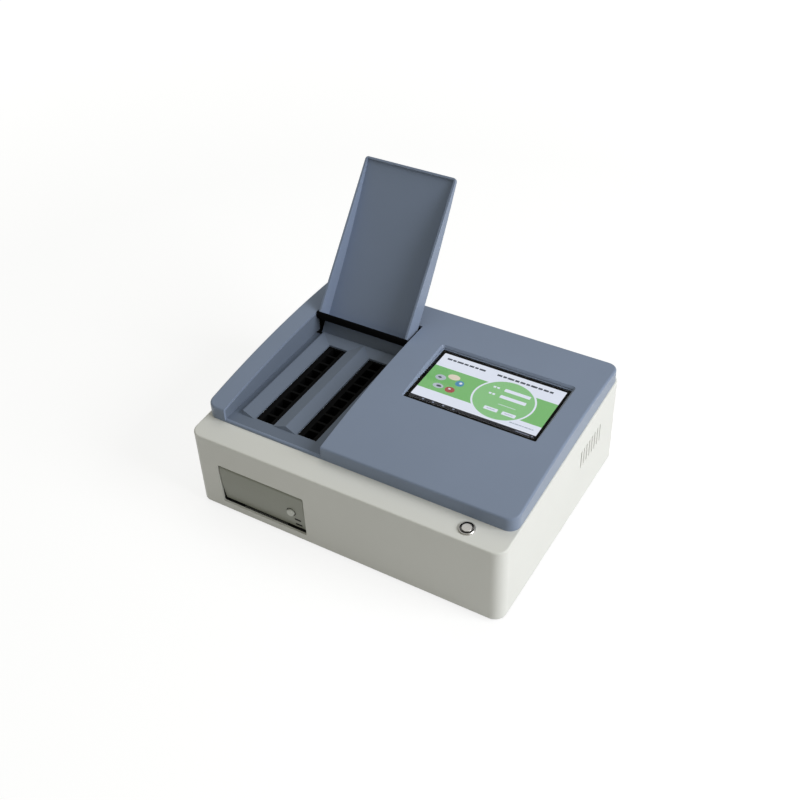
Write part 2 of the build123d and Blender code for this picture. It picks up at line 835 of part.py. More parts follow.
def make_beads(side, radius, reach, foot):
    """Round-nosed lamps or sensors, one for each well, that look into the beam holes."""
    with BuildPart() as beads:
        for x in slot_middles:
            face = x + side * (block_width / 2 + optics_gap)
            for y in well_ys:
                with BuildSketch(side_plane(face)):
                    with Locations((y, beam_z)):
                        Circle(foot)
                extrude(amount=-side * (optics_gap - 1.0))
                with BuildSketch(side_plane(face)):
                    with Locations((y, beam_z)):
                        Circle(radius)
                extrude(amount=-side * reach)
    return beads


save(make_boards(-1), "lamp_boards")
save(make_boards(1), "sensor_boards")
save(make_beads(-1, 1.5, 5.0, 1.9), "lamps")
save(make_beads(1, 1.5, 4.2, 2.4), "light_sensors")

with BuildPart() as optics_spacers:
    for x in slot_middles:
        for side in (-1, 1):
            with BuildSketch(side_plane(x + side * block_width / 2)):
                with Locations((block_mid_y - spacer_reach, beam_z - 8), (block_mid_y + spacer_reach, beam_z - 8)):
                    Circle(2.5)
            extrude(amount=side * optics_gap)
save(optics_spacers, "optics_spacers")

with BuildPart() as block_posts:
    with BuildSketch(Plane.XY.offset(plate_top)):
        with Locations(*post_places):
            RegularPolygon(4.0, 6)
    extrude(amount=block_bottom - plate_top)
    with BuildSketch(Plane.XY.offset(plate_top)):
        with Locations(*post_places):
            Circle(screw_pilot)
    extrude(amount=10, mode=Mode.SUBTRACT)
save(block_posts, "block_posts")

# Lid, drawn open, in its own axes: u runs back and v up when it is closed
lid_left = bay_left + lid_side_gap
lid_right = bay_right - lid_side_gap
lid_width = lid_right - lid_left
heel_u = lid_heel - pivot_distance
end_wall_u = end_wall_behind_pivot + lid_wall
rim_heel_v = pivot_below_crown - lid_heel_depth


def lid_plane(x):
    """Upright plane through the lid's pivot that turns with the open lid."""
    return Plane(
        origin=(x, back(pivot_distance), pivot_z), x_dir=(0, cos(swing), -sin(swing)), z_dir=(1, 0, 0)
    )


def crown_v(u, below=0.0):
    """Height of the closed lid's top above its pivot."""
    return crown_z(pivot_distance + u, below) - pivot_z


with BuildPart() as lid:
    with BuildSketch(lid_plane(lid_left)):
        with BuildLine():
            Polyline(
                (tip_u, crown_v(tip_u)),
                (tip_u, crown_v(tip_u) - lid_tip_depth),
                (end_wall_u, rim_heel_v),
                (end_wall_u, crown_v(end_wall_u, lid_wall)),
                (heel_u, crown_v(heel_u, lid_wall)),
                (heel_u, crown_v(heel_u)),
            )
            ThreePointArc(
                (heel_u, crown_v(heel_u)),
                ((heel_u + tip_u) / 2, crown_v((heel_u + tip_u) / 2)),
                (tip_u, crown_v(tip_u)),
            )
        make_face()
    extrude(amount=lid_width)
    heel_corner = lid_plane(0).from_local_coords(Vector(end_wall_u, rim_heel_v, 0))
    fillet(lid.edges().filter_by(Axis.X).sort_by_distance((0, heel_corner.Y, heel_corner.Z))[0], lid_corner_round)
    for x in (lid_left, lid_right):
        tip_corner = lid_plane(x).from_local_coords(Vector(tip_u, crown_v(tip_u) - lid_tip_depth / 2, 0))
        fillet(lid.edges().sort_by_distance(tip_corner)[0], lid_tip_round)
    outer_face = lid.faces().filter_by(GeomType.CYLINDER).sort_by(SortBy.AREA)[-1]
    fillet(outer_face.edges(), 1.2)
    with BuildSketch(lid_plane(lid_left + lid_wall)):
        with BuildLine():
            Polyline(
                (tip_u + lid_wall, crown_v(tip_u + lid_wall, lid_wall)),
                (tip_u + lid_wall, rim_heel_v - 30),
                (end_wall_behind_pivot, rim_heel_v - 30),
                (end_wall_behind_pivot, crown_v(end_wall_behind_pivot, lid_wall)),
            )
            ThreePointArc(
                (end_wall_behind_pivot, crown_v(end_wall_behind_pivot, lid_wall)),
                ((end_wall_behind_pivot + tip_u) / 2, crown_v((end_wall_behind_pivot + tip_u) / 2, lid_wall)),
                (tip_u + lid_wall, crown_v(tip_u + lid_wall, lid_wall)),
            )
        make_face()
    extrude(amount=lid_width - 2 * lid_wall, mode=Mode.SUBTRACT)
    for x, way in ((lid_left, -1), (lid_right, 1)):
        with BuildSketch(lid_plane(x - way * lid_wall)):
            Circle(boss_radius)
        extrude(amount=way * (lid_wall + lid_side_gap - fit_gap))
    with BuildSketch(lid_plane(bay_left)):
        Circle(pin_radius + pin_clearance)
    extrude(amount=bay_right - bay_left, mode=Mode.SUBTRACT)
save(lid, "lid")

with BuildPart() as hinge_pins:
    for x, way in ((bay_left - bay_wall, 1), (bay_right + bay_wall, -1)):
        with BuildSketch(side_plane(x)):
            with Locations((back(pivot_distance), pivot_z)):
                Circle(pin_radius)
        extrude(amount=way * (bay_wall + lid_side_gap + lid_wall))
        with BuildSketch(side_plane(x)):
            with Locations((back(pivot_distance), pivot_z)):
                Circle(pin_radius + 1.5)
        extrude(amount=-way * 1.5)
save(hinge_pins, "hinge_pins")

# Touch screen
with BuildPart() as touch_glass:
    with BuildSketch(Plane.XY.offset(glass_under_z)):
        with Locations((glass_mid_x, glass_mid_y)):
            RectangleRounded(glass_width, glass_depth, 0.8)
    extrude(amount=glass_thickness)
save(touch_glass, "touch_glass")

with BuildPart() as screen_gasket:
    with BuildSketch(Plane.XY.offset(glass_under_z - gasket_thickness)):
        with Locations((glass_mid_x, glass_mid_y)):
            Rectangle(glass_width - 0.4, glass_depth - 0.4)
            Rectangle(glass_width - 2 * screen_lip + 0.4, glass_depth - 2 * screen_lip + 0.4, mode=Mode.SUBTRACT)
    extrude(amount=gasket_thickness)
save(screen_gasket, "screen_gasket")

with BuildPart() as display_panel:
    with BuildSketch(Plane.XY.offset(panel_under_z)):
        with Locations((glass_mid_x, glass_mid_y)):
            Rectangle(panel_width, panel_depth)
    extrude(amount=panel_thickness)
save(display_panel, "display_panel")

with BuildPart() as display_bracket:
    with BuildSketch(Plane.XY.offset(panel_under_z - bracket_thickness)):
        with Locations((glass_mid_x, glass_mid_y)):
            RectangleRounded(glass_width + 2 * screen_frame, glass_depth, 3.0)
            Rectangle(panel_width - 30, panel_depth - 30, mode=Mode.SUBTRACT)
            with GridLocations(2 * bracket_screw_x, 2 * bracket_screw_y, 2, 2):
                Circle(screw_radius + 0.1, mode=Mode.SUBTRACT)
    extrude(amount=bracket_thickness)
save(display_bracket, "display_bracket")

bracket_screw_places = [
    (glass_mid_x + sx * bracket_screw_x, glass_mid_y + sy * bracket_screw_y)
    for sx in (-1, 1)
    for sy in (-1, 1)
]
display_screws = make_screws(seats_below(bracket_screw_places, panel_under_z - bracket_thickness), 5.0)
save(display_screws, "display_screws")

# Power button
bore_radius = cap_radius + running_gap
cap_height = 6.0
with BuildPart() as button_body:
    with BuildSketch(ledge_plane):
        Circle(bezel_radius)
    extrude(amount=bezel_height)
    chamfer(button_body.faces().sort_by(Axis.Z)[-1].edges(), 0.7)
    with BuildSketch(ledge_plane.offset(bezel_height)):
        Circle(bezel_radius - bezel_rim)
    extrude(amount=channel_floor - bezel_height, mode=Mode.SUBTRACT)
    with BuildSketch(ledge_plane):
        Circle(button_thread / 2)
    extrude(amount=-button_body_length)
    with BuildSketch(ledge_plane.offset(bezel_height)):
        Circle(bore_radius)
    extrude(amount=-(cap_height + button_travel + 1.0), mode=Mode.SUBTRACT)
    with BuildSketch(ledge_plane.offset(-button_body_length)):
        with PolarLocations(4.5, 4, 45):
            Rectangle(2.8, 0.8)
    extrude(amount=-7)
save(button_body, "button_body")

with BuildPart() as power_button:
    with BuildSketch(ledge_plane.offset(bezel_height + cap_proud)):
        Circle(cap_radius)
    extrude(amount=-cap_height)
    fillet(power_button.faces().sort_by(Axis.Z)[-1].edges(), 0.6)
save(power_button, "power_button")

with BuildPart() as button_nut:
    with BuildSketch(ledge_plane.offset(-case_wall - 0.4)):
        RegularPolygon(10.5, 6)
        Circle(button_thread / 2 + 0.05, mode=Mode.SUBTRACT)
    extrude(amount=-2.5)
save(button_nut, "button_nut")

# Main board
board_under = plate_top + board_rise
with BuildPart() as main_board:
    with BuildSketch(Plane.XY.offset(board_under)):
        with Locations(board_mid):
            Rectangle(board_width, board_depth)
        with Locations(*board_hole_places):
            Circle(screw_radius + 0.1, mode=Mode.SUBTRACT)
    extrude(amount=board_thickness)
save(main_board, "main_board")

with BuildPart() as board_standoffs:
    with BuildSketch(Plane.XY.offset(plate_top)):
        with Locations(*board_hole_places):
            RegularPolygon(3.4, 6)
            Circle(screw_pilot, mode=Mode.SUBTRACT)
    extrude(amount=board_rise)
save(board_standoffs, "board_standoffs")

board_seats = [Plane(origin=(x, y, board_under + board_thickness)) for x, y in board_hole_places]
board_screws = make_screws(board_seats + seats_below(board_hole_places, plate_under), 4.8)
save(board_screws, "board_screws")

board_face = Plane.XY.offset(board_under + board_thickness)
with BuildPart() as processor_heatsink:
    with BuildSketch(board_face):
        with Locations((board_x - 22.0, back(board_distance) - 8.0)):
            Rectangle(38.0, 38.0)
    extrude(amount=3.0)
    with BuildSketch(board_face.offset(3.0)):
        with Locations((board_x - 22.0, back(board_distance) - 8.0)):
            with GridLocations(4.6, 1, 8, 1):
                Rectangle(1.4, 38.0)
    extrude(amount=9.0)
save(processor_heatsink, "processor_heatsink")

with BuildPart() as board_connectors:
    with BuildSketch(board_face):
        with Locations((board_x + 32.0, back(board_distance) + 34.0)):
            with GridLocations(19.0, 1, 3, 1):
                Rectangle(15.0, 6.5)
        with Locations((board_x - 50.0, back(board_distance) + 22.0)):
            with GridLocations(1, 24.0, 1, 3):
                Rectangle(7.0, 18.0)
        with Locations((board_x + 34.0, back(board_distance) - 44.0)):
            Rectangle(26.0, 7.0)
    extrude(amount=8.5)
save(board_connectors, "board_connectors")

# Power supply
with BuildPart() as power_supply:
    with BuildSketch(Plane.XY.offset(plate_top)):
        with Locations((supply_x, back(supply_distance))):
            Rectangle(supply_width, supply_depth)
    extrude(amount=supply_height)
    chamfer(power_supply.edges().filter_by(Axis.Z), 1.0)
    with BuildSketch(Plane.XY.offset(plate_top)):
        with Locations(*supply_screw_places):
            Circle(screw_pilot)
    extrude(amount=8.0, mode=Mode.SUBTRACT)
    with BuildSketch(Plane.XY.offset(plate_top + supply_height)):
        with Locations((supply_x, back(supply_distance))):
            with GridLocations(7.0, 9.0, 9, 6):
                Circle(2.2)
    extrude(amount=-1.2, mode=Mode.SUBTRACT)
save(power_supply, "power_supply")

# Fan behind the rear wall
fan_front_y = back_y - rear_sheet - fit_gap - fan_depth
fan_bore = fan_size / 2 - 1.6
hub_radius = 12.0
fan_hole_pitch = fan_size - 10.0
fan_face = Plane(origin=(fan_x, fan_front_y, fan_z), x_dir=(-1, 0, 0), z_dir=(0, 1, 0))
with BuildPart() as fan_frame:
    with BuildSketch(fan_face):
        RectangleRounded(fan_size, fan_size, 4.0)
        Circle(fan_bore, mode=Mode.SUBTRACT)
        with GridLocations(fan_hole_pitch, fan_hole_pitch, 2, 2):
            Circle(screw_pilot, mode=Mode.SUBTRACT)
    extrude(amount=fan_depth)
    with BuildSketch(fan_face):
        Circle(hub_radius)
        with PolarLocations(fan_bore / 2 + 2.0, 4, 45):
            Rectangle(fan_bore + 2.0, 3.0)
    extrude(amount=2.5)
    with BuildSketch(fan_face):
        Circle(1.5)
    extrude(amount=fan_depth - 3.0)
save(fan_frame, "fan_frame")

blade_middle = fan_front_y + 2.5 + fit_gap + (fan_depth - 4.0) / 2
with BuildPart() as fan_blade:
    with BuildSketch(Plane(origin=(fan_x + hub_radius - 1.0, blade_middle, fan_z), x_dir=(0, 1, 0), z_dir=(1, 0, 0))):
        Rectangle(fan_depth - 2.5, 1.3, rotation=40)
    extrude(amount=fan_bore - hub_radius - 0.2)

with BuildPart() as fan_rotor:
    with BuildSketch(fan_face.offset(2.5 + fit_gap)):
        Circle(hub_radius)
    extrude(amount=fan_depth - 4.0)
    fillet(fan_rotor.faces().sort_by(Axis.Y)[-1].edges(), 1.0)
    with BuildSketch(fan_face.offset(2.5 + fit_gap)):
        Circle(1.5 + running_gap)
    extrude(amount=fan_depth - 3.0 - 2.5 - fit_gap + running_gap, mode=Mode.SUBTRACT)
    for turn in range(7):
        add(fan_blade.part.rotate(Axis((fan_x, 0, fan_z), (0, 1, 0)), turn * 360 / 7))
    with BuildSketch(fan_face.offset(-1)):
        Circle(fan_bore - 1.0)
    extrude(amount=fan_depth + 2, mode=Mode.INTERSECT)
save(fan_rotor, "fan_rotor")

wire = 0.9
guard_y = back_y + 2.2
guard_plane = Plane(origin=(fan_x, guard_y, fan_z), x_dir=(-1, 0, 0), z_dir=(0, 1, 0))
with BuildPart() as fan_guard:
    with Locations(guard_plane.location):
        for radius in (8.0, 14.0, 20.0, 26.0):
            Torus(radius, wire)
    with BuildSketch(guard_plane.offset(-wire)):
        with PolarLocations(fan_hole_pitch * 0.3535, 4, 45):
            Rectangle(fan_hole_pitch * 0.7071 - 2.0, 1.6)
        with GridLocations(fan_hole_pitch, fan_hole_pitch, 2, 2):
            Circle(3.4)
        Circle(5.0)
        with GridLocations(fan_hole_pitch, fan_hole_pitch, 2, 2):
            Circle(screw_radius + 0.1, mode=Mode.SUBTRACT)
    extrude(amount=-0.8)
    with BuildSketch(guard_plane.offset(-wire - 0.8)):
        with GridLocations(fan_hole_pitch, fan_hole_pitch, 2, 2):
            Circle(3.4)
            Circle(screw_radius + 0.1, mode=Mode.SUBTRACT)
    extrude(amount=back_y - guard_y + wire + 0.8)
save(fan_guard, "fan_guard")

fan_seats = [
    Plane(origin=(fan_x + sx * fan_hole_pitch / 2, guard_y - wire, fan_z + sz * fan_hole_pitch / 2), z_dir=(0, 1, 0))
    for sx in (-1, 1)
    for sz in (-1, 1)
]

# Mains inlet and rocker switch
inlet_place = Plane(origin=(inlet_x, back_y, inlet_z), x_dir=(-1, 0, 0), z_dir=(0, 1, 0))
with BuildPart() as mains_inlet:
    with BuildSketch(inlet_place):
        SlotOverall(50.0, 22.0)
        with GridLocations(40.0, 1, 2, 1):
            Circle(screw_radius + 0.1, mode=Mode.SUBTRACT)
    extrude(amount=2.4)
    with BuildSketch(inlet_place):
        Rectangle(inlet_width - 2 * fit_gap, inlet_height - 2 * fit_gap)
    extrude(amount=-20.0)
    with BuildSketch(inlet_place.offset(2.4)):
        with BuildLine():
            Polyline((-11.5, -8), (11.5, -8), (11.5, 4), (7.5, 8), (-7.5, 8), (-11.5, 4), close=True)
        make_face()
    extrude(amount=-17.0, mode=Mode.SUBTRACT)
    with BuildSketch(inlet_place.offset(-20.0)):
        with Locations((-7, -2), (0, 2), (7, -2)):
            Rectangle(2.0, 5.0)
    extrude(amount=6.0, mode=Mode.SUBTRACT)
save(mains_inlet, "mains_inlet")

with BuildPart() as inlet_pins:
    with BuildSketch(inlet_place.offset(-27.0)):
        with Locations((-7, -2), (0, 2), (7, -2)):
            Rectangle(2.0, 5.0)
    extrude(amount=26.0)
save(inlet_pins, "inlet_pins")

inlet_seats = [
    Plane(origin=(inlet_x + sx * 20.0, back_y + 2.4, inlet_z), z_dir=(0, 1, 0)) for sx in (-1, 1)
]
rear_seats = [Plane(origin=(x, back_y, z), z_dir=(0, 1, 0)) for x, z in rear_screw_places]
port_plate_seats = [
    Plane(origin=(x, back_y + port_plate_thickness, z), z_dir=(0, 1, 0)) for x, z in port_plate_screws
]
with BuildPart() as rear_screws:
    add(make_screws(rear_seats, 6.5).part)
    add(make_screws(fan_seats, 14.0).part)
    add(make_screws(inlet_seats, 9.0).part)
    add(make_screws(port_plate_seats, 5.0).part)
save(rear_screws, "rear_screws")

rocker_place = Plane(origin=(rocker_x, back_y, inlet_z), x_dir=(-1, 0, 0), z_dir=(0, 1, 0))
rocker_opening = (rocker_width - 4.0, rocker_height - 3.5)
rocker_tilt = 7.0
rocker_axis_y = back_y - 1.0
with BuildPart() as rocker_housing:
    with BuildSketch(rocker_place):
        RectangleRounded(rocker_width + 3.0, rocker_height + 3.0, 1.2)
    extrude(amount=1.6)
    with BuildSketch(rocker_place):
        Rectangle(rocker_width - 2 * fit_gap, rocker_height - 2 * fit_gap)
    extrude(amount=-16.0)
    with BuildSketch(rocker_place.offset(1.6)):
        Rectangle(*rocker_opening)
    extrude(amount=-9.0, mode=Mode.SUBTRACT)
    with BuildSketch(rocker_place.offset(-16.0)):
        with GridLocations(8.0, 1, 2, 1):
            Rectangle(0.8, 6.0)
    extrude(amount=-8.0)
    with BuildSketch(Plane(origin=(rocker_x, rocker_axis_y, inlet_z - rocker_opening[1] / 2 - 1.0))):
        Circle(1.0)
    extrude(amount=rocker_opening[1] + 2.0)
save(rocker_housing, "rocker_housing")

rocker_reach = rocker_opening[0] / 2 - 0.5
with BuildPart() as mains_rocker:
    rocker_mid = Plane(origin=(rocker_x, rocker_axis_y, inlet_z)).rotated((0, 0, rocker_tilt))
    with BuildSketch(rocker_mid):
        with BuildLine():
            Polyline(
                (-rocker_reach, 3.2),
                (-rocker_reach, -1.5),
                (-2.5, -3.5),
                (2.5, -3.5),
                (rocker_reach, -1.5),
                (rocker_reach, 3.2),
                (0, 1.8),
                close=True,
            )
        make_face()
        Circle(1.0 + running_gap, mode=Mode.SUBTRACT)
    extrude(amount=rocker_opening[1] / 2 - fit_gap, both=True)
save(mains_rocker, "mains_rocker")

# Data ports on a small board
port_board_top = ports_z - usb_size[1] / 2
port_board_mid = ((port_board_left + port_board_right) / 2, back(port_board_front + port_board_depth / 2))
with BuildPart() as port_board:
    with BuildSketch(Plane.XY.offset(port_board_top - board_thickness)):
        with Locations(port_board_mid):
            Rectangle(port_board_right - port_board_left, port_board_depth)
        with Locations(*port_post_places):
            Circle(screw_radius + 0.1, mode=Mode.SUBTRACT)
    extrude(amount=board_thickness)
save(port_board, "port_board")

port_outer = Plane(origin=(0, back_y + port_plate_thickness - 0.3, 0), x_dir=(-1, 0, 0), z_dir=(0, 1, 0))
with BuildPart() as usb_ports:
    with BuildSketch(port_outer):
        with Locations((-ports_x, ports_z)):
            with GridLocations(usb_pitch, 1, 2, 1):
                Rectangle(*usb_size)
    extrude(amount=-17.0)
    with BuildSketch(port_outer):
        with Locations((-ports_x, ports_z)):
            with GridLocations(usb_pitch, 1, 2, 1):
                Rectangle(12.6, 5.2)
    extrude(amount=-13.0, mode=Mode.SUBTRACT)
    with BuildSketch(port_outer.offset(-1.0)):
        with Locations((-ports_x, ports_z + 0.9)):
            with GridLocations(usb_pitch, 1, 2, 1):
                Rectangle(11.0, 1.8)
    extrude(amount=-13.0)
save(usb_ports, "usb_ports")

with BuildPart() as network_port:
    with BuildSketch(port_outer):
        with Locations((-network_x, network_z)):
            Rectangle(*network_size)
    extrude(amount=-18.0)
    with BuildSketch(port_outer):
        with Locations((-network_x, network_z + 0.8)):
            Rectangle(11.8, 7.0)
        with Locations((-network_x, network_z - 4.0)):
            Rectangle(6.0, 3.0)
    extrude(amount=-13.0, mode=Mode.SUBTRACT)
save(network_port, "network_port")

with BuildPart() as port_posts:
    with BuildSketch(Plane.XY.offset(plate_top)):
        with Locations(*port_post_places):
            RegularPolygon(3.4, 6)
            Circle(screw_pilot, mode=Mode.SUBTRACT)
    extrude(amount=port_board_top - board_thickness - plate_top)
save(port_posts, "port_posts")

port_seats = [Plane(origin=(x, y, port_board_top)) for x, y in port_post_places]
port_screws = make_screws(port_seats + seats_below(port_post_places, plate_under), 6.0)
save(port_screws, "port_screws")

# Printer: housing behind the front wall
axis_z = door_top_z - door_axis_depth + door_setback
barrel_radius = door_axis_depth - door_setback
roll_z = foot_height + roll_above_case
printer_x = (door_left + door_right) / 2
cheek_x = paper_width / 2 + 1.5
cheek_thickness = 2.0
with BuildPart() as printer_housing:
    with BuildSketch(front_plane(back(housing_front))):
        with Locations((printer_x, (opening_bottom_z + opening_top_z) / 2)):
            Rectangle(housing_right - housing_left, opening_top_z - opening_bottom_z + 2 * housing_wall)
    extrude(amount=-housing_depth)
    with BuildSketch(front_plane(back(housing_front))):
        with Locations((printer_x, (opening_bottom_z + opening_top_z) / 2)):
            Rectangle(housing_right - housing_left - 2 * housing_wall, opening_top_z - opening_bottom_z)
    extrude(amount=-(housing_depth - housing_wall), mode=Mode.SUBTRACT)
    with BuildSketch(side_plane(printer_x - cheek_x - cheek_thickness)):
        with BuildLine():
            Polyline(
                (back(roll_distance - 9.0), opening_bottom_z),
                (back(roll_distance - 9.0), roll_z - 4.0),
                (back(roll_distance - 5.0), roll_z + 9.0),
                (back(housing_back - housing_wall), roll_z + 9.0),
                (back(housing_back - housing_wall), opening_bottom_z),
                close=True,
            )
        make_face()
    extrude(amount=cheek_thickness)
    with BuildSketch(side_plane(printer_x + cheek_x)):
        with BuildLine():
            Polyline(
                (back(roll_distance - 9.0), opening_bottom_z),
                (back(roll_distance - 9.0), roll_z - 4.0),
                (back(roll_distance - 5.0), roll_z + 9.0),
                (back(housing_back - housing_wall), roll_z + 9.0),
                (back(housing_back - housing_wall), opening_bottom_z),
                close=True,
            )
        make_face()
    extrude(amount=cheek_thickness)
    with BuildSketch(side_plane(printer_x - cheek_x - cheek_thickness)):
        with Locations((back(roll_distance), roll_z)):
            Circle(spindle_radius)
    extrude(amount=2 * (cheek_x + cheek_thickness), mode=Mode.SUBTRACT)
    with BuildSketch(side_plane(housing_left)):
        with Locations((back(door_axis_depth), axis_z)):
            Circle(door_pin_radius)
    extrude(amount=housing_right - housing_left, mode=Mode.SUBTRACT)
    with BuildSketch(Plane.XY.offset(plate_top)):
        with Locations(*housing_foot_places):
            Circle(4.0)
    extrude(amount=opening_bottom_z - housing_wall - plate_top)
    with BuildSketch(Plane.XY.offset(plate_top)):
        with Locations(*housing_foot_places):
            Circle(screw_pilot)
    extrude(amount=5.2, mode=Mode.SUBTRACT)
save(printer_housing, "printer_housing")

# Printer: door with its button, lights and platen
door_width = door_right - door_left
platen_distance = 13.0
platen_z = door_bottom_z + 7.0
latch_z = foot_height + latch_above_case
window_places = [(door_right - 11.1, foot_height + 26.3), (door_right - 11.1, foot_height + 17.2)]
ear_x = paper_width / 2 + 3.0
ear_thickness = 2.5

# Side outline of the door: hinge barrel on top, a face that sweeps in towards its lower edge
with BuildPart() as door_solid:
    with BuildSketch(side_plane(door_left)):
        with BuildLine():
            Polyline(
                (back(door_setback), axis_z),
                (back(door_setback + door_thickness), axis_z),
                (back(door_setback + door_thickness), (axis_z + door_bottom_z) / 2),
                (back(door_setback + door_thickness + door_sweep), door_bottom_z),
                (back(door_setback + door_sweep), door_bottom_z),
            )
            ThreePointArc(
                (back(door_setback + door_sweep), door_bottom_z),
                (back(door_setback + door_sweep * 0.18), door_bottom_z + (axis_z - door_bottom_z) * 0.55),
                (back(door_setback), axis_z),
            )
        make_face()
        with Locations((back(door_axis_depth), axis_z)):
            Circle(barrel_radius)
    extrude(amount=door_width)
    door_face = door_solid.faces().filter_by(GeomType.CYLINDER).sort_by(SortBy.AREA)[-1]
    chamfer(door_face.edges().filter_by(GeomType.CIRCLE), door_bevel)

with BuildPart() as printer_door:
    add(door_solid.part)
    for x in (printer_x - ear_x - ear_thickness, printer_x + ear_x):
        with BuildSketch(side_plane(x)):
            with Locations((back(platen_distance), platen_z)):
                Circle(shaft_radius + 2.4)
            with BuildLine():
                Polyline(
                    (back(door_setback + door_thickness - 1), platen_z + 14.0),
                    (back(platen_distance + 4.0), platen_z + 2.0),
                    (back(platen_distance), platen_z - 4.2),
                    (back(door_setback + door_thickness + door_sweep - 1.5), platen_z - 4.2),
                    close=True,
                )
            make_face()
        extrude(amount=ear_thickness)
    with BuildSketch(side_plane(printer_x - ear_x - ear_thickness)):
        with Locations((back(platen_distance), platen_z)):
            Circle(shaft_radius)
    extrude(amount=2 * (ear_x + ear_thickness), mode=Mode.SUBTRACT)
    with BuildSketch(side_plane(door_left)):
        with Locations((back(door_axis_depth), axis_z)):
            Circle(door_pin_radius + running_gap)
    extrude(amount=8.0, mode=Mode.SUBTRACT)
    with BuildSketch(side_plane(door_right)):
        with Locations((back(door_axis_depth), axis_z)):
            Circle(door_pin_radius + running_gap)
    extrude(amount=-8.0, mode=Mode.SUBTRACT)
    with BuildSketch(front_plane(back(-2))):
        with Locations((latch_x, latch_z)):
            Circle(latch_radius + running_gap)
        with Locations(*window_places):
            Rectangle(window_width, window_height)
    extrude(amount=-14.0, mode=Mode.SUBTRACT)
save(printer_door, "printer_door")

with BuildPart() as door_lights:
    with BuildSketch(front_plane(back(-2))):
        with Locations(*window_places):
            Rectangle(window_width, window_height)
    extrude(amount=-14.0)
    add(door_solid.part, mode=Mode.INTERSECT)
save(door_lights, "door_lights")

latch_inner = door_setback + door_thickness + door_sweep
with BuildPart() as door_button:
    with BuildSketch(front_plane(back(-latch_proud))):
        with Locations((latch_x, latch_z)):
            Circle(latch_radius)
    extrude(amount=-(latch_proud + latch_inner + 1.0))
    fillet(door_button.faces().sort_by(Axis.Y)[0].edges(), 1.0)
    with BuildSketch(front_plane(back(latch_inner + fit_gap))):
        with Locations((latch_x, latch_z)):
            Circle(latch_radius + 1.6)
    extrude(amount=-1.6)
save(door_button, "door_button")

with BuildPart() as platen_shaft:
    with BuildSketch(side_plane(printer_x - ear_x - ear_thickness)):
        with Locations((back(platen_distance), platen_z)):
            Circle(shaft_radius)
    extrude(amount=2 * (ear_x + ear_thickness))
save(platen_shaft, "platen_shaft")

with BuildPart() as platen_roller:
    with BuildSketch(side_plane(printer_x - ear_x + 0.5)):
        with Locations((back(platen_distance), platen_z)):
            Circle(roller_radius)
            Circle(shaft_radius + running_gap, mode=Mode.SUBTRACT)
    extrude(amount=2 * (ear_x - 0.5))
save(platen_roller, "platen_roller")

with BuildPart() as print_head:
    head_face = platen_distance + roller_radius + fit_gap
    with BuildSketch(side_plane(printer_x - cheek_x + 1.0)):
        with BuildLine():
            Polyline(
                (back(head_face), platen_z + 5.0),
                (back(head_face), platen_z - 5.0),
                (back(head_face - 2.0), opening_bottom_z),
                (back(head_face + 9.0), opening_bottom_z),
                (back(head_face + 9.0), opening_bottom_z + 2.0),
                (back(head_face + 2.0), opening_bottom_z + 2.0),
                (back(head_face + 2.0), platen_z + 5.0),
                close=True,
            )
        make_face()
    extrude(amount=2 * (cheek_x - 1.0))
save(print_head, "print_head")

with BuildPart() as tear_bar:
    with BuildSketch(Plane.XY.offset(opening_bottom_z)):
        with Locations((printer_x, back(housing_front + 1.5))):
            Rectangle(paper_width + 4.0, 3.0)
    extrude(amount=0.8)
    with BuildSketch(Plane.XY.offset(opening_bottom_z)):
        with Locations((printer_x, back(housing_front))):
            with GridLocations(2.4, 1, 25, 1):
                Rectangle(1.4, 1.4, rotation=45)
    extrude(amount=0.8, mode=Mode.SUBTRACT)
save(tear_bar, "tear_bar")

with BuildPart() as paper_spindle:
    with BuildSketch(side_plane(printer_x - cheek_x - cheek_thickness)):
        with Locations((back(roll_distance), roll_z)):
            Circle(spindle_radius)
    extrude(amount=2 * (cheek_x + cheek_thickness))
save(paper_spindle, "paper_spindle")

with BuildPart() as roll_core:
    with BuildSketch(side_plane(printer_x - paper_width / 2)):
        with Locations((back(roll_distance), roll_z)):
            Circle(core_radius + core_thickness)
            Circle(core_radius, mode=Mode.SUBTRACT)
    extrude(amount=paper_width)
save(roll_core, "roll_core")

with BuildPart() as paper_roll:
    with BuildSketch(side_plane(printer_x - paper_width / 2 + 0.2)):
        with Locations((back(roll_distance), roll_z)):
            Circle(paper_radius)
            Circle(core_radius + core_thickness, mode=Mode.SUBTRACT)
    extrude(amount=paper_width - 0.4)
save(paper_roll, "paper_roll")

with BuildPart() as door_hinge_pins:
    for x, way in ((housing_left, 1), (housing_right, -1)):
        with BuildSketch(side_plane(x)):
            with Locations((back(door_axis_depth), axis_z)):
                Circle(door_pin_radius)
        extrude(amount=way * (housing_wall + door_gap + 7.0))
save(door_hinge_pins, "door_hinge_pins")
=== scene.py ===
"""Looks of a bench-top food residue tester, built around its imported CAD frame."""

import json
import math

import bmesh
import bpy
from bpy.props import FloatProperty, FloatVectorProperty, PointerProperty
from mathutils import Matrix, Vector


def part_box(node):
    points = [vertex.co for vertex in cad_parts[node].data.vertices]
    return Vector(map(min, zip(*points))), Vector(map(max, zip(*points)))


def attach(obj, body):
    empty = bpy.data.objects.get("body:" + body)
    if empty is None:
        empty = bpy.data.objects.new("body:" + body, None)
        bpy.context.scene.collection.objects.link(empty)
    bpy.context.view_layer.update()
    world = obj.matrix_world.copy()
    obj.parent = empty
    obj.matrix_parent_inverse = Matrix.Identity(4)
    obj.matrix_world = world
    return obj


bl_info = {
    "name": "Food Residue Tester",
    "version": (1, 0, 0),
    "blender": (4, 5, 0),
    "location": "View3D > Sidebar > Tester",
    "description": "Finishes, screen page and stage for a bench-top tester",
    "category": "Object",
}

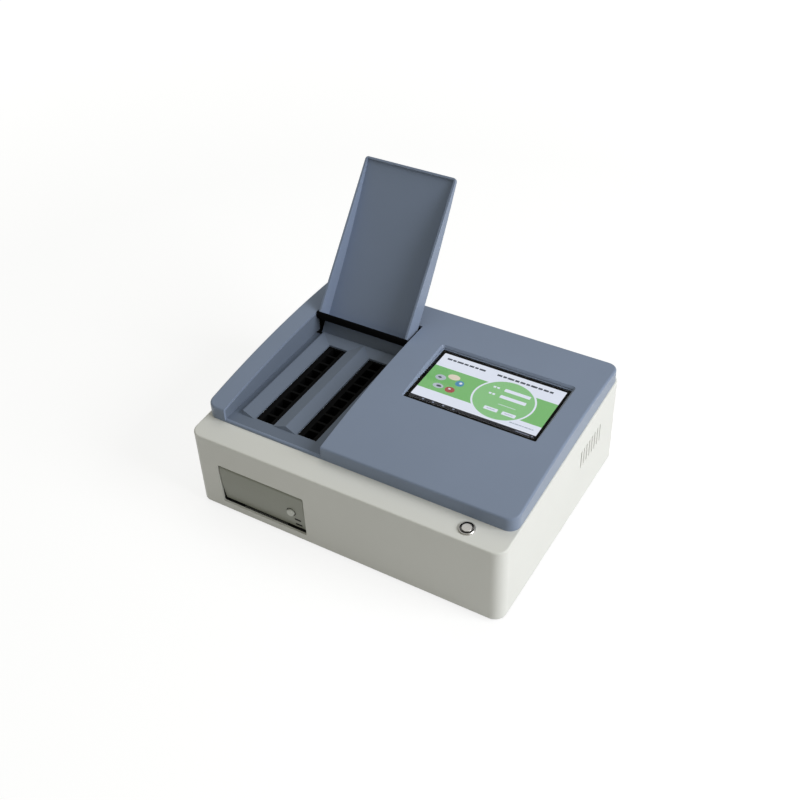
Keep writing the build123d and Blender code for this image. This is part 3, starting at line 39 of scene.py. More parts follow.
MM = 0.001
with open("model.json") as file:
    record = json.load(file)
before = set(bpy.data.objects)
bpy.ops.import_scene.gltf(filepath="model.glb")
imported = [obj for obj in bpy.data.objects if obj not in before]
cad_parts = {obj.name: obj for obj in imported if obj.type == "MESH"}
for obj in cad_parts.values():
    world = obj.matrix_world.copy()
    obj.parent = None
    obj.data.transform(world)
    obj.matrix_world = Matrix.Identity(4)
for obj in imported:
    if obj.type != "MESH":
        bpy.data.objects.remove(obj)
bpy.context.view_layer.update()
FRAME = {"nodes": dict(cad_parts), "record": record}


def linear(code):
    """An sRGB hex colour as linear red, green and blue."""
    parts = [int(code[i : i + 2], 16) / 255 for i in (1, 3, 5)]
    return tuple(c / 12.92 if c <= 0.04045 else ((c + 0.055) / 1.055) ** 2.4 for c in parts)


def colour(name, about, code):
    """A colour property whose default is an sRGB hex colour."""
    return FloatVectorProperty(
        name=name, description=about, subtype="COLOR", size=3, min=0, max=1, default=linear(code)
    )


def length(name, about, millimetres):
    """A length property given in millimetres and kept in metres."""
    return FloatProperty(
        name=name, description=about, subtype="DISTANCE", unit="LENGTH", default=millimetres * MM
    )


class TesterColours(bpy.types.PropertyGroup):
    """Colours of the case, the cover and the screen page."""

    case: colour("Case", "Lower case", "#E8E8E4")
    case_low: colour("Case mottling", "Darker tone in the lower case", "#E2E2DE")
    cover: colour("Cover", "Top cover and lid", "#8895AE")
    cover_low: colour("Cover mottling", "Darker tone in the cover", "#818EA5")
    # The tray is the cover's slate in a darker tone: painted shade from the lid and the bay's walls
    tray: colour("Tray", "Tray of the cuvette bay", "#707B8E")
    door: colour("Door", "Printer door", "#9A9C92")
    page: colour("Page", "White of the screen page", "#E6ECFA")
    band: colour("Band", "Green band of the screen page", "#7CBE74")
    disc: colour("Disc", "Green of the round panel on the page", "#8CC888")
    border: colour("Border", "Black border under the glass", "#050607")


class TesterSizes(bpy.types.PropertyGroup):
    """Sizes that a maker would change without touching the frame."""

    edge: length("Edge softening", "Radius that catches the light on moulded edges", 0.5)
    grain: length("Moulded grain", "Width of one grain of the moulded texture", 1.1)
    page_layer: length("Page layer", "Step between the printed layers of the page", 0.012)


class TesterStage(bpy.types.PropertyGroup):
    """Floor, lamps and lens."""

    focal: FloatProperty(name="Lens", description="Focal length", unit="CAMERA", default=51.82)
    floor: colour("Floor", "Floor and backdrop", "#FFFFFF")
    key: FloatProperty(name="Key lamp", description="Power of the right lamp", unit="POWER", default=58.0)
    top: FloatProperty(name="Top lamp", description="Power of the top lamp", unit="POWER", default=6.0)
    fill: FloatProperty(name="World", description="Strength of the even light all round", default=0.27)


def put(tree, kind, inputs=None, **settings):
    """Add one node; an input is a value, or a socket that it is linked to."""
    made = tree.nodes.new(kind)
    for key, value in settings.items():
        setattr(made, key, value)
    for key, value in (inputs or {}).items():
        socket = made.inputs[key]
        if isinstance(value, bpy.types.NodeSocket):
            tree.links.new(value, socket)
        elif socket.type == "RGBA" and len(value) == 3:
            socket.default_value = (*value, 1)
        else:
            socket.default_value = value
    return made


def blank(name):
    """A new material with nothing but its output."""
    made = bpy.data.materials.new(name)
    made.use_nodes = True
    made.node_tree.nodes.clear()
    return made, made.node_tree, made.node_tree.nodes.new("ShaderNodeOutputMaterial")


def finish(name, tones, roughness, grain, relief, metallic=0.0, edge=0.4, streak=None, **shader):
    """A surface with two close tones, an uneven roughness, a grain and softened edges.

    Grain, relief and edge are millimetres; streak stretches the grain along X, Y and Z.
    """
    made, tree, out = blank(name)
    place = put(tree, "ShaderNodeTexCoord").outputs["Object"]
    if streak:
        place = put(tree, "ShaderNodeMapping", {"Vector": place, "Scale": streak}).outputs["Vector"]
    broad = put(tree, "ShaderNodeTexNoise", {"Vector": place, "Scale": 9.0, "Detail": 3.0})
    fine = put(
        tree, "ShaderNodeTexNoise", {"Vector": place, "Scale": 1 / (grain * MM), "Detail": 2.0, "Roughness": 0.6}
    )
    blend = put(
        tree, "ShaderNodeMix", {0: broad.outputs["Fac"], 6: tones[0], 7: tones[1]}, data_type="RGBA"
    )
    uneven = put(
        tree,
        "ShaderNodeMapRange",
        {
            "Value": fine.outputs["Fac"],
            "From Min": 0.3,
            "From Max": 0.7,
            "To Min": roughness - 0.05,
            "To Max": roughness + 0.06,
        },
    )
    soft = put(tree, "ShaderNodeBevel", {"Radius": edge * MM}, samples=6)
    bump = put(
        tree,
        "ShaderNodeBump",
        {
            "Height": fine.outputs["Fac"],
            "Distance": relief * MM,
            "Strength": 1.0,
            "Normal": soft.outputs["Normal"],
        },
    )
    surface = put(
        tree,
        "ShaderNodeBsdfPrincipled",
        {
            "Base Color": blend.outputs[2],
            "Roughness": uneven.outputs["Result"],
            "Metallic": metallic,
            "Normal": bump.outputs["Normal"],
            **shader,
        },
    )
    tree.links.new(surface.outputs[0], out.inputs["Surface"])
    return made


def lit(name, shade, strength):
    """Part of the lit page: it gives light of its own and hardly takes any from the room."""
    made, tree, out = blank(name)
    place = put(tree, "ShaderNodeTexCoord").outputs["Object"]
    grid = put(tree, "ShaderNodeTexNoise", {"Vector": place, "Scale": 60.0})
    dimmer = tuple(c * 0.96 for c in shade)
    glow = put(tree, "ShaderNodeMix", {0: grid.outputs["Fac"], 6: shade, 7: dimmer}, data_type="RGBA")
    surface = put(
        tree,
        "ShaderNodeBsdfPrincipled",
        {
            "Base Color": (0, 0, 0),
            "Roughness": 0.6,
            "Specular IOR Level": 0.0,
            "Emission Color": glow.outputs[2],
            "Emission Strength": strength,
        },
    )
    tree.links.new(surface.outputs[0], out.inputs["Surface"])
    return made


def both(code, other):
    """Two sRGB hex colours as linear tones."""
    return linear(code), linear(other)


def make_finishes(colours, sizes):
    """Every material, by the name of what it is on."""
    edge = sizes.edge / MM
    grain = sizes.grain / MM
    sheen = {
        "Sheen Weight": 1.0,
        "Sheen Roughness": 0.32,
        "Specular IOR Level": 0.3,
        "Sheen Tint": (0.9, 0.95, 1.0, 1),
    }
    dull = {"Specular IOR Level": 0.12}
    return {
        # Moulded ABS, spark-eroded texture: broad soft highlights and a faint mottling
        "case": finish("abs_warm_white", (colours.case, colours.case_low), 0.44, grain, 0.02, edge=edge),
        "cover": finish("abs_slate_cover", (colours.cover, colours.cover_low), 0.4, grain, 0.02, edge=edge, **sheen),
        "lid": finish("abs_slate_lid", (colours.cover, colours.cover_low), 0.4, grain, 0.02, edge=edge, **sheen),
        # The tray is the cover's slate ABS in a darker tone: painted shade from the lid and the bay's walls
        "tray": finish("abs_slate_tray_shaded", (colours.tray, linear("#697486")), 0.42, grain, 0.02, edge=edge, **sheen),
        # Moulded black ABS, near black partly as its own colour and partly as painted shade of the deep hollow under
        # the lid's heel: hardly any shine
        "trough": finish("abs_black_trough", both("#0A0A0C", "#070708"), 0.6, 0.8, 0.02, **dull),
        # Powder-coated steel: pale, with a slight orange peel
        "rear_sheet": finish("steel_powder_coated", both("#D9DBDD", "#D1D3D5"), 0.5, 0.9, 0.03, edge=0.3),
        # Brushed steel sheet: fine lines one way that stretch the light
        "port_sheet": finish(
            "steel_brushed_sheet", both("#B9BBBE", "#A9ABAF"), 0.34, 0.5, 0.004, metallic=1.0, edge=0.2, streak=(1, 1, 9)
        ),
        # Black strip on the lid's heel: painted shade of the dark hollow under the heel; it takes nearly all the light
        "seal": finish("heel_shade_black", both("#060608", "#040405"), 0.9, 0.5, 0.02, **dull),
        # Near-black rings: painted shade of the gaps round the button's cap and rim and round the door's knob and
        # marks
        "groove": finish("groove_painted_shade", both("#050506", "#030304"), 0.7, 0.4, 0.002, edge=0.05, **dull),
        # Moulded graphite ABS: a warm grey with a low sheen
        "door": finish("abs_graphite", (colours.door, linear("#929489")), 0.42, 0.9, 0.02, edge=0.4),
        # Polished ABS: a light knob, its pale tone partly its own grey and partly a painted highlight of the floor's
        # reflection, with a small bright spot
        "door_button": finish("abs_polished_grey", both("#DADCD6", "#CED0CA"), 0.2, 0.9, 0.004, edge=1.6),
        # Moulded black nylon: dark with a soft grey bloom
        "black_plastic": finish("nylon_black", both("#16171A", "#101113"), 0.48, 0.8, 0.02),
        # Gloss ABS: black with a clear highlight
        "rocker": finish("abs_gloss_black", both("#141517", "#0E0F10"), 0.18, 0.8, 0.003),
        # Moulded ABS: near black, a little grain
        "printer": finish("abs_printer_black", both("#1B1C1F", "#141518"), 0.5, 0.8, 0.02),
        # Black anodised aluminium, milled: nearly black, partly painted shade so the slots read as dark hollows; a
        # dull sheen along the cutter's way
        "blocks": finish(
            "aluminium_anodised_black", both("#030304", "#010102"), 0.7, 0.5, 0.004, edge=0.1, streak=(1, 6, 6), **dull
        ),
        # Zinc-plated steel sheet: grey with a cloudy sheen
        "plate": finish("steel_zinc_sheet", both("#A9ABAE", "#96989C"), 0.42, 0.7, 0.004, metallic=1.0),
        # Zinc-plated steel, turned: small bright edges
        "screws": finish("steel_zinc_screws", both("#C4C5C8", "#AEB0B4"), 0.3, 0.3, 0.003, metallic=1.0, edge=0.15),
        # Ground steel: a narrow bright line along each pin
        "pins": finish("steel_ground", both("#C9CACD", "#B9BABD"), 0.22, 0.3, 0.002, metallic=1.0, edge=0.1),
        # Moulded rubber: dull and dark
        "feet": finish("rubber_black", both("#1A1A1B", "#131314"), 0.8, 0.7, 0.02),
        # Closed-cell foam: flat black with a fine pitting
        "gasket": finish("foam_black", both("#151516", "#0E0E0F"), 0.9, 0.5, 0.03),
        # Glass epoxy with solder mask: deep green, half gloss
        "boards": finish("glass_epoxy_green", both("#1E5A38", "#174A2D"), 0.35, 1.2, 0.01),
        # Clear cast epoxy: pale and glossy
        "lamps": finish("epoxy_clear", both("#E6EAEE", "#D9DEE4"), 0.12, 0.8, 0.001),
        # Dark cast epoxy: glossy, nearly black
        "sensors": finish("epoxy_dark", both("#18181C", "#101014"), 0.15, 0.8, 0.001),
        # Moulded natural nylon: milky and soft
        "spacers": finish("nylon_natural", both("#D9D6CC", "#CFCCC1"), 0.5, 0.7, 0.01),
        # Turned brass: yellow with fine rings
        "posts": finish("brass_turned", both("#CDAF6B", "#BF9F58"), 0.28, 0.2, 0.002, metallic=1.0, streak=(1, 1, 8)),
        # Zinc-plated steel, pressed: grey with a cloudy sheen
        "bracket": finish("steel_zinc_bracket", both("#9FA1A5", "#8E9094"), 0.42, 0.7, 0.004, metallic=1.0),
        # Painted metal case of the display: black, half dull
        "display": finish("display_case_black", both("#0B0C0E", "#08090A"), 0.4, 0.6, 0.003),
        # Polished stainless steel, turned: bright with fine rings
        "button_metal": finish("steel_polished", both("#CFCCC9", "#C2BFBC"), 0.3, 0.25, 0.002, metallic=1.0, edge=0.2),
        # Nickelled brass: a warm silver
        "nut": finish("brass_nickelled", both("#C9C4B4", "#BBB6A6"), 0.3, 0.3, 0.002, metallic=1.0),
        # Moulded nylon: off-white, half dull
        "connectors": finish("nylon_connectors", both("#E4E1D6", "#D8D5CA"), 0.5, 0.7, 0.01),
        # Extruded aluminium, black anodised: dark with bright fin edges
        "heatsink": finish("aluminium_extruded_black", both("#26272A", "#1D1E21"), 0.4, 0.4, 0.006, metallic=0.6),
        # Drawn aluminium sheet: pale, streaked along its roll
        "supply": finish("aluminium_sheet", both("#B5B7BA", "#A6A8AC"), 0.36, 0.5, 0.004, metallic=1.0, streak=(1, 8, 8)),
        # Moulded glass-filled nylon: black, a little rough
        "fan": finish("nylon_fan_black", both("#17181A", "#101113"), 0.42, 0.8, 0.01),
        # Chromed wire: thin bright lines
        "guard": finish("steel_chromed_wire", both("#D2D3D6", "#C4C5C8"), 0.14, 0.3, 0.001, metallic=1.0, edge=0.1),
        # Tinned brass: pale yellow-grey
        "contacts": finish("brass_tinned", both("#CFCCC4", "#C2BFB6"), 0.3, 0.3, 0.002, metallic=1.0),
        # Tinned steel shell: bright and a little cloudy
        "ports": finish("steel_tinned", both("#C6C7CA", "#B8B9BC"), 0.26, 0.3, 0.002, metallic=1.0),
        # Smoked acrylic: dark marks when unlit
        "lights": finish("acrylic_smoke", both("#0C0E0D", "#080A09"), 0.3, 0.8, 0.001, **dull),
        # Ground rubber: dull charcoal
        "platen": finish("rubber_ground", both("#202022", "#19191B"), 0.7, 0.3, 0.01),
        # Aluminium bar, milled: light lines along its length
        "head": finish("aluminium_head", both("#A6A8AB", "#999B9E"), 0.34, 0.3, 0.003, metallic=1.0, streak=(1, 8, 8)),
        # Stamped steel: a bright sawn edge
        "tear_bar": finish("steel_stamped", both("#C2C3C6", "#B3B4B8"), 0.25, 0.3, 0.002, metallic=1.0, edge=0.1),
        # Moulded acetal: white with a waxy shine
        "spindle": finish("acetal_white", both("#DEDDD8", "#D4D3CE"), 0.3, 0.7, 0.003),
        # Wound paperboard: brown with a spiral grain
        "core": finish("paperboard", both("#A98C66", "#9A7E5A"), 0.8, 0.5, 0.02, streak=(1, 5, 5)),
        # Thermal paper, wound: white with fine layer lines
        "paper": finish("thermal_paper", both("#F2F2EE", "#E9E9E5"), 0.55, 0.4, 0.004, streak=(0.2, 4, 4)),
        # Screen-printed ink under glass: an even black
        "border": finish("ink_black", (colours.border, linear("#08090B")), 0.3, 0.6, 0.0005, edge=0.01, **dull),
        # Lit page: an even cool white, with a trace of the diffuser
        "page": lit("page_white", colours.page, 0.93),
        "band": lit("page_band", colours.band, 0.9),
        "disc": lit("page_disc", colours.disc, 0.9),
        "ink": lit("page_ink", linear("#3C4450"), 0.9),
        "soft_ink": lit("page_soft_ink", linear("#A9B4C2"), 0.9),
        "bar": lit("page_bar", linear("#0C0E1A"), 0.9),
        "bar_mark": lit("page_bar_mark", linear("#8C94AA"), 0.9),
        "tile_blue": lit("page_tile_blue", linear("#4F8FB8"), 0.9),
        "tile_red": lit("page_tile_red", linear("#A8504E"), 0.9),
        "tile_cream": lit("page_tile_cream", linear("#E6DCC8"), 0.9),
        "tile_grey": lit("page_tile_grey", linear("#B9C4CE"), 0.9),
    }


def clear_glass():
    """Float glass, chemically hardened: clear, with a sharp reflection of the room."""
    made, tree, out = blank("glass_hardened")
    place = put(tree, "ShaderNodeTexCoord").outputs["Object"]
    dust = put(tree, "ShaderNodeTexNoise", {"Vector": place, "Scale": 40.0, "Detail": 4.0})
    smear = put(tree, "ShaderNodeMapRange", {"Value": dust.outputs["Fac"], "To Min": 0.02, "To Max": 0.07})
    surface = put(
        tree,
        "ShaderNodeBsdfPrincipled",
        {
            "Base Color": (1, 1, 1),
            "Roughness": smear.outputs["Result"],
            "IOR": 1.3,
            "Transmission Weight": 1.0,
        },
    )
    tree.links.new(surface.outputs[0], out.inputs["Surface"])
    return made


FINISHES = {}


def finishes():
    """The materials, made once."""
    if not FINISHES:
        scene = bpy.context.scene
        FINISHES.update(make_finishes(scene.tester_colours, scene.tester_sizes))
        FINISHES["glass"] = clear_glass()
    return FINISHES


def piece(name, mesh, finish_name, body):
    """Link a mesh as a piece that rides on a body."""
    made = bpy.data.objects.new(name, mesh)
    bpy.context.scene.collection.objects.link(made)
    mesh.materials.append(finishes()[finish_name])
    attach(made, body)
    return made


def plates(outlines, low, thick):
    """Thin flat plates from lists of X, Y corners in metres; a second list in a pair is a hole."""
    mesh = bpy.data.meshes.new("plates")
    net = bmesh.new()
    for outer, hole in outlines:
        rings = [[net.verts.new((x, y, low)) for x, y in ring] for ring in (outer, hole) if ring]
        if len(rings) == 2:
            count = len(rings[0])
            faces = [
                net.faces.new((rings[0][i], rings[0][(i + 1) % count], rings[1][(i + 1) % count], rings[1][i]))
                for i in range(count)
            ]
        else:
            faces = [net.faces.new(rings[0])]
        grown = bmesh.ops.extrude_face_region(net, geom=faces)
        moved = [g for g in grown["geom"] if isinstance(g, bmesh.types.BMVert)]
        bmesh.ops.translate(net, verts=moved, vec=(0, 0, thick))
    bmesh.ops.recalc_face_normals(net, faces=net.faces)
    net.to_mesh(mesh)
    net.free()
    return mesh


def oval(x, y, rx, ry, count=48):
    """Corners of an oval, in millimetres."""
    turns = [2 * math.pi * i / count for i in range(count)]
    return [(x + rx * math.cos(turn), y + ry * math.sin(turn)) for turn in turns]


def panel(x0, y0, x1, y1, corner=0.0):
    """Corners of a rectangle with rounded corners, in millimetres."""
    if not corner:
        return [(x0, y0), (x1, y0), (x1, y1), (x0, y1)]
    corners = (
        (x1 - corner, y0 + corner, -90),
        (x1 - corner, y1 - corner, 0),
        (x0 + corner, y1 - corner, 90),
        (x0 + corner, y0 + corner, 180),
    )
    turns = [(cx, cy, math.radians(start + 15 * k)) for cx, cy, start in corners for k in range(7)]
    return [(cx + corner * math.cos(turn), cy + corner * math.sin(turn)) for cx, cy, turn in turns]


def dashes(x0, x1, y, height, pattern):
    """A row of short bars that stands for a line of small print."""
    row, x, i = [], x0, 0
    while x < x1:
        wide = pattern[i % len(pattern)]
        if x + wide > x1:
            break
        row.append(panel(x, y - height / 2, x + wide, y + height / 2))
        x += wide + height * 0.45
        i += 1
    return row


def whole(*rings):
    """Outlines without a hole."""
    return [(ring, None) for ring in rings]


def ring_mesh(name, inner, outer, low, high, place, count=64):
    """A flat or tall ring about the button's axis, in metres."""
    mesh = bpy.data.meshes.new(name)
    points, faces = [], []
    for i in range(count):
        turn = 2 * math.pi * i / count
        for radius, rise in ((inner, low), (outer, low), (outer, high), (inner, high)):
            points.append(place @ Vector((radius * math.cos(turn), radius * math.sin(turn), rise)))
        a, b = 4 * i, 4 * ((i + 1) % count)
        faces += [(a + k, b + k, b + (k + 1) % 4, a + (k + 1) % 4) for k in range(4)]
    mesh.from_pydata(points, [], faces)
    mesh.update()
    return mesh


def on_door(door, x, z):
    """A corner on the door's curved face, found by a ray from the front, in metres."""
    found, spot, _, _ = door.ray_cast(Vector((x * MM, -0.25, z * MM)), Vector((0, 1, 0)))
    if not found:
        raise RuntimeError(f"no door at {x}, {z}")
    return spot


def face_strip(name, door, outer, inner, proud, depth):
    """A thin frame on the door's face between two X, Z outlines of as many corners, in millimetres."""
    mesh = bpy.data.meshes.new(name)
    count = len(outer)
    points = []
    for line in (outer, inner):
        for away in (-proud, depth):
            points += [on_door(door, x, z) + Vector((0, away * MM, 0)) for x, z in line]
    faces = []
    for i in range(count):
        j = (i + 1) % count
        for a, b in ((0, 2), (2, 3), (3, 1), (1, 0)):
            faces.append((a * count + i, a * count + j, b * count + j, b * count + i))
    mesh.from_pydata(points, [], faces)
    mesh.update()
    return mesh


# The door's knob and its two marks on the front, X and Z, and half sizes of a mark
KNOB = (-66.2, 42.6, 4.8)
MARKS = ((-58.6, 31.8), (-58.6, 22.7))
MARK_HALF = (3.3, 1.0)
# The middle of the button on the sloping ledge, and the ledge's fall per millimetre
BUTTON_SPOT = (150.0, -162.4, 108.88)
LEDGE_FALL = 0.05032
# The lid's pivot and the axes of the open lid: along the closed lid's depth, and up from it
LID_PIVOT = (58.1, 131.31)
LID_BACK = (-0.616, -0.788)
LID_UP = (0.788, -0.616)
# The bend of the lid's heel in those axes, the upper end of the black painted-shade strip on it, and how that strip is
# cut
HEEL_BEND = (-3.5, -6.0, 9.0)
HEEL_TOP = 4.0
SHADE_STRIP_THICKNESS = 0.4
SHADE_STRIP_INSET = 0.8

# Half the floor's side in metres; the camera's spot, and its turn round, up and on its own axis
REACH = 12.0
CAMERA_SPOT = (530.70, -893.06, 976.29)
CAMERA_TURN = (31.928, 40.047, -2.433)

# The page on the screen, in millimetres of the frame
PAGE = (6.2, -33.2, 164.4, 56.2)
BAR_TOP = -27.6
BAND = (-12.2, 31.4)
DISC = (105.8, 9.4, 38.0, 35.6)
DISC_RIM = 2.2
TILES = (
    (23.0, 13.0, 6.6, 5.0),
    (37.0, 20.0, 7.6, 4.8),
    (48.0, 12.6, 5.2, 5.2),
    (27.5, -1.6, 6.6, 4.2),
    (43.0, -2.2, 6.0, 5.0),
)
FIELDS = (
    (98.8, 24.4, 131.0, 29.6),
    (98.8, 12.2, 131.0, 17.4),
    (91.0, -12.8, 107.8, -7.2),
    (113.2, -12.8, 130.0, -7.2),
)
WORDS = (6.2, 4.4, 8.0, 5.2)


def page_shapes():
    """Finish, layer and outlines of everything on the page, from the back to the front."""
    x0, y0, x1, y1 = PAGE
    dx, dy, rx, ry = DISC
    grey, cream, blue, low_grey, red = TILES
    inside = oval(dx, dy, rx - DISC_RIM, ry - DISC_RIM, 96)
    title = dashes(13.5, 66.5, 47.6, 2.9, WORDS) + dashes(79.0, 154.0, 47.8, 3.1, WORDS)
    names = dashes(84.6, 93.4, 27.0, 2.8, (3.2,)) + dashes(84.6, 93.4, 14.8, 2.8, (3.2,))
    keys = [ring for x in (94.6, 116.8) for ring in dashes(x, x + 10, -10.0, 1.3, (1.6, 1.2))]
    marks = [panel(x - 1.2, -31.2, x + 1.2, -29.4) for x in (24.0, 37.0, 50.0, 63.0)]
    return [
        ("page", 0, whole(panel(x0, BAR_TOP, x1, y1))),
        ("bar", 0, whole(panel(x0, y0, x1, BAR_TOP))),
        ("band", 1, whole(panel(x0, BAND[0], x1, BAND[1]))),
        ("page", 2, [(oval(dx, dy, rx, ry, 96), inside)]),
        ("disc", 2, whole(inside)),
        ("page", 3, whole(*(panel(*corners, 0.8) for corners in FIELDS))),
        ("page", 4, whole(*names)),
        ("page", 3, whole(*dashes(103.0, 124.5, 1.6, 0.9, (1.4, 1.0, 1.8)))),
        ("soft_ink", 4, whole(*keys)),
        ("ink", 1, whole(*title)),
        ("soft_ink", 1, whole(*dashes(127.5, 161.5, -20.2, 1.7, (3.2, 2.1, 4.0)))),
        ("tile_cream", 2, whole(oval(*cream))),
        ("tile_grey", 3, whole(oval(*grey), oval(*low_grey))),
        ("tile_blue", 3, whole(oval(*blue))),
        ("tile_red", 3, whole(oval(*red))),
        ("ink", 5, whole(oval(grey[0] - 1, grey[1], 2.2, 1.4), oval(low_grey[0] + 1, low_grey[1], 3.2, 1.7))),
        ("page", 5, whole(oval(blue[0] + 1, blue[1] + 1, 1.8, 1.8), oval(red[0] - 1, red[1] + 1.4, 1.7, 1.1))),
        (
            "bar_mark",
            1,
            whole(*marks, *dashes(140.0, 157.0, -30.3, 1.2, (1.5, 1.1)), oval(160.0, -30.3, 0.9, 0.9, 16)),
        ),
    ]


class TESTER_OT_finishes(bpy.types.Operator):
    """Give every CAD node the finish of what it is made of"""

    bl_idname = "tester.finishes"
    bl_label = "Finish the frame"

    def execute(self, context):
        slots = {row["node"]: row["material_slot"] for row in FRAME["record"]["subparts"]}
        for name, node in FRAME["nodes"].items():
            node.data.materials.clear()
            node.data.materials.append(finishes()[slots[name]])
        return {"FINISHED"}


class TESTER_OT_page(bpy.types.Operator):
    """Lay the lit page under the glass, one piece for each of its colours"""

    bl_idname = "tester.page"
    bl_label = "Screen page"

    def execute(self, context):
        step = context.scene.tester_sizes.page_layer
        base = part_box("display_panel")[1].z + 0.2 * step
        grouped = {}
        for name, layer, outlines in page_shapes():
            grouped.setdefault((name, layer), []).extend(outlines)
        for (name, layer), outlines in grouped.items():
            scaled = [tuple(ring and [(x * MM, y * MM) for x, y in ring] for ring in pair) for pair in outlines]
            piece(f"screen_{name}_{layer}", plates(scaled, base + layer * step, step), name, "case")
        return {"FINISHED"}


class TESTER_OT_heel_shade(bpy.types.Operator):
    """Lay a thin black strip round the heel of the lid: painted shade of the dark hollow under it"""

    bl_idname = "tester.seal"
    bl_label = "Lid heel shade"

    def execute(self, context):
        low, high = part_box("lid")
        middle_u, middle_v, radius = HEEL_BEND
        line = []
        for k in range(11):
            du, dv = math.cos(math.radians(-90 + 9 * k)), math.sin(math.radians(-90 + 9 * k))
            line.append((middle_u + radius * du, middle_v + radius * dv, du, dv))
        line.append((middle_u + radius, HEEL_TOP, 1.0, 0.0))
        points = []
        for x in (low.x / MM + SHADE_STRIP_INSET, high.x / MM - SHADE_STRIP_INSET):
            for u, v, du, dv in line:
                for off in (0.02, SHADE_STRIP_THICKNESS):
                    a, b = u + du * off, v + dv * off
                    y = LID_PIVOT[0] + a * LID_BACK[0] + b * LID_UP[0]
                    z = LID_PIVOT[1] + a * LID_BACK[1] + b * LID_UP[1]
                    points.append((x * MM, y * MM, z * MM))
        count = len(line)
        faces = []
        for i in range(count - 1):
            a, b = 2 * i, 2 * count + 2 * i
            faces += [(a, a + 2, b + 2, b), (a + 1, b + 1, b + 3, a + 3)]
            faces += [(a, a + 1, a + 3, a + 2), (b, b + 2, b + 3, b + 1)]
        for i in (0, count - 1):
            a, b = 2 * i, 2 * count + 2 * i
            faces.append((a, b, b + 1, a + 1) if i == 0 else (a, a + 1, b + 1, b))
        mesh = bpy.data.meshes.new("lid_heel_shade")
        mesh.from_pydata(points, [], faces)
        mesh.update()
        piece("lid_heel_shade", mesh, "seal", "lid")
        return {"FINISHED"}


class TESTER_OT_rings(bpy.types.Operator):
    """Set two black rings into the button's channel: painted shade of the gaps round the cap and inside the rim"""

    bl_idname = "tester.rings"
    bl_label = "Button rings"

    def execute(self, context):
        up = Vector((0, -LEDGE_FALL, 1)).normalized()
        place = Matrix.Translation(Vector(BUTTON_SPOT) * MM) @ up.to_track_quat("Z", "Y").to_matrix().to_4x4()
        for name, inner, outer, low, high in (
            ("button_cap_gap_shade", 6.15, 6.95, 0.32, 0.6),
            ("button_rim_gap_shade", 7.5, 7.86, 0.32, 1.7),
        ):
            mesh = ring_mesh(name, inner * MM, outer * MM, low * MM, high * MM, place)
            piece(name, mesh, "groove", "case")
        return {"FINISHED"}


class TESTER_OT_door_gap_shade(bpy.types.Operator):
    """Put black rims round the door's two marks and its knob: painted shade of the gaps round them"""

    bl_idname = "tester.door_trim"
    bl_label = "Door gap shade"

    def execute(self, context):
        door = FRAME["nodes"]["printer_door"]
        x, z, radius = KNOB
        outside, inside = radius + 1.25, radius + 0.4
        shade_rims = [("knob_gap_shade", oval(x, z, outside, outside), oval(x, z, inside, inside))]
        wide, tall = MARK_HALF
        gap = 0.05
        for i, (x, z) in enumerate(MARKS):
            shade_rims.append(
                (
                    f"mark_gap_shade_{i}",
                    panel(x - wide - 1.3, z - tall - 0.7, x + wide + 0.5, z + tall + 0.3),
                    panel(x - wide - gap, z - tall - gap, x + wide + gap, z + tall + gap),
                )
            )
        for name, outer, inner in shade_rims:
            piece(name, face_strip(name, door, outer, inner, 0.12, 0.1), "groove", "printer_door")
        return {"FINISHED"}


class TESTER_OT_border(bpy.types.Operator):
    """Print the black border on the underside of the glass"""

    bl_idname = "tester.border"
    bl_label = "Glass border"

    def execute(self, context):
        low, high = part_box("touch_glass")
        inset = 0.3 * MM
        outer = panel(low.x + inset, low.y + inset, high.x - inset, high.y - inset)
        outlines = [(outer, [(x * MM, y * MM) for x, y in panel(*PAGE)])]
        piece("glass_border", plates(outlines, low.z - 0.02 * MM, 0.01 * MM), "border", "case")
        return {"FINISHED"}


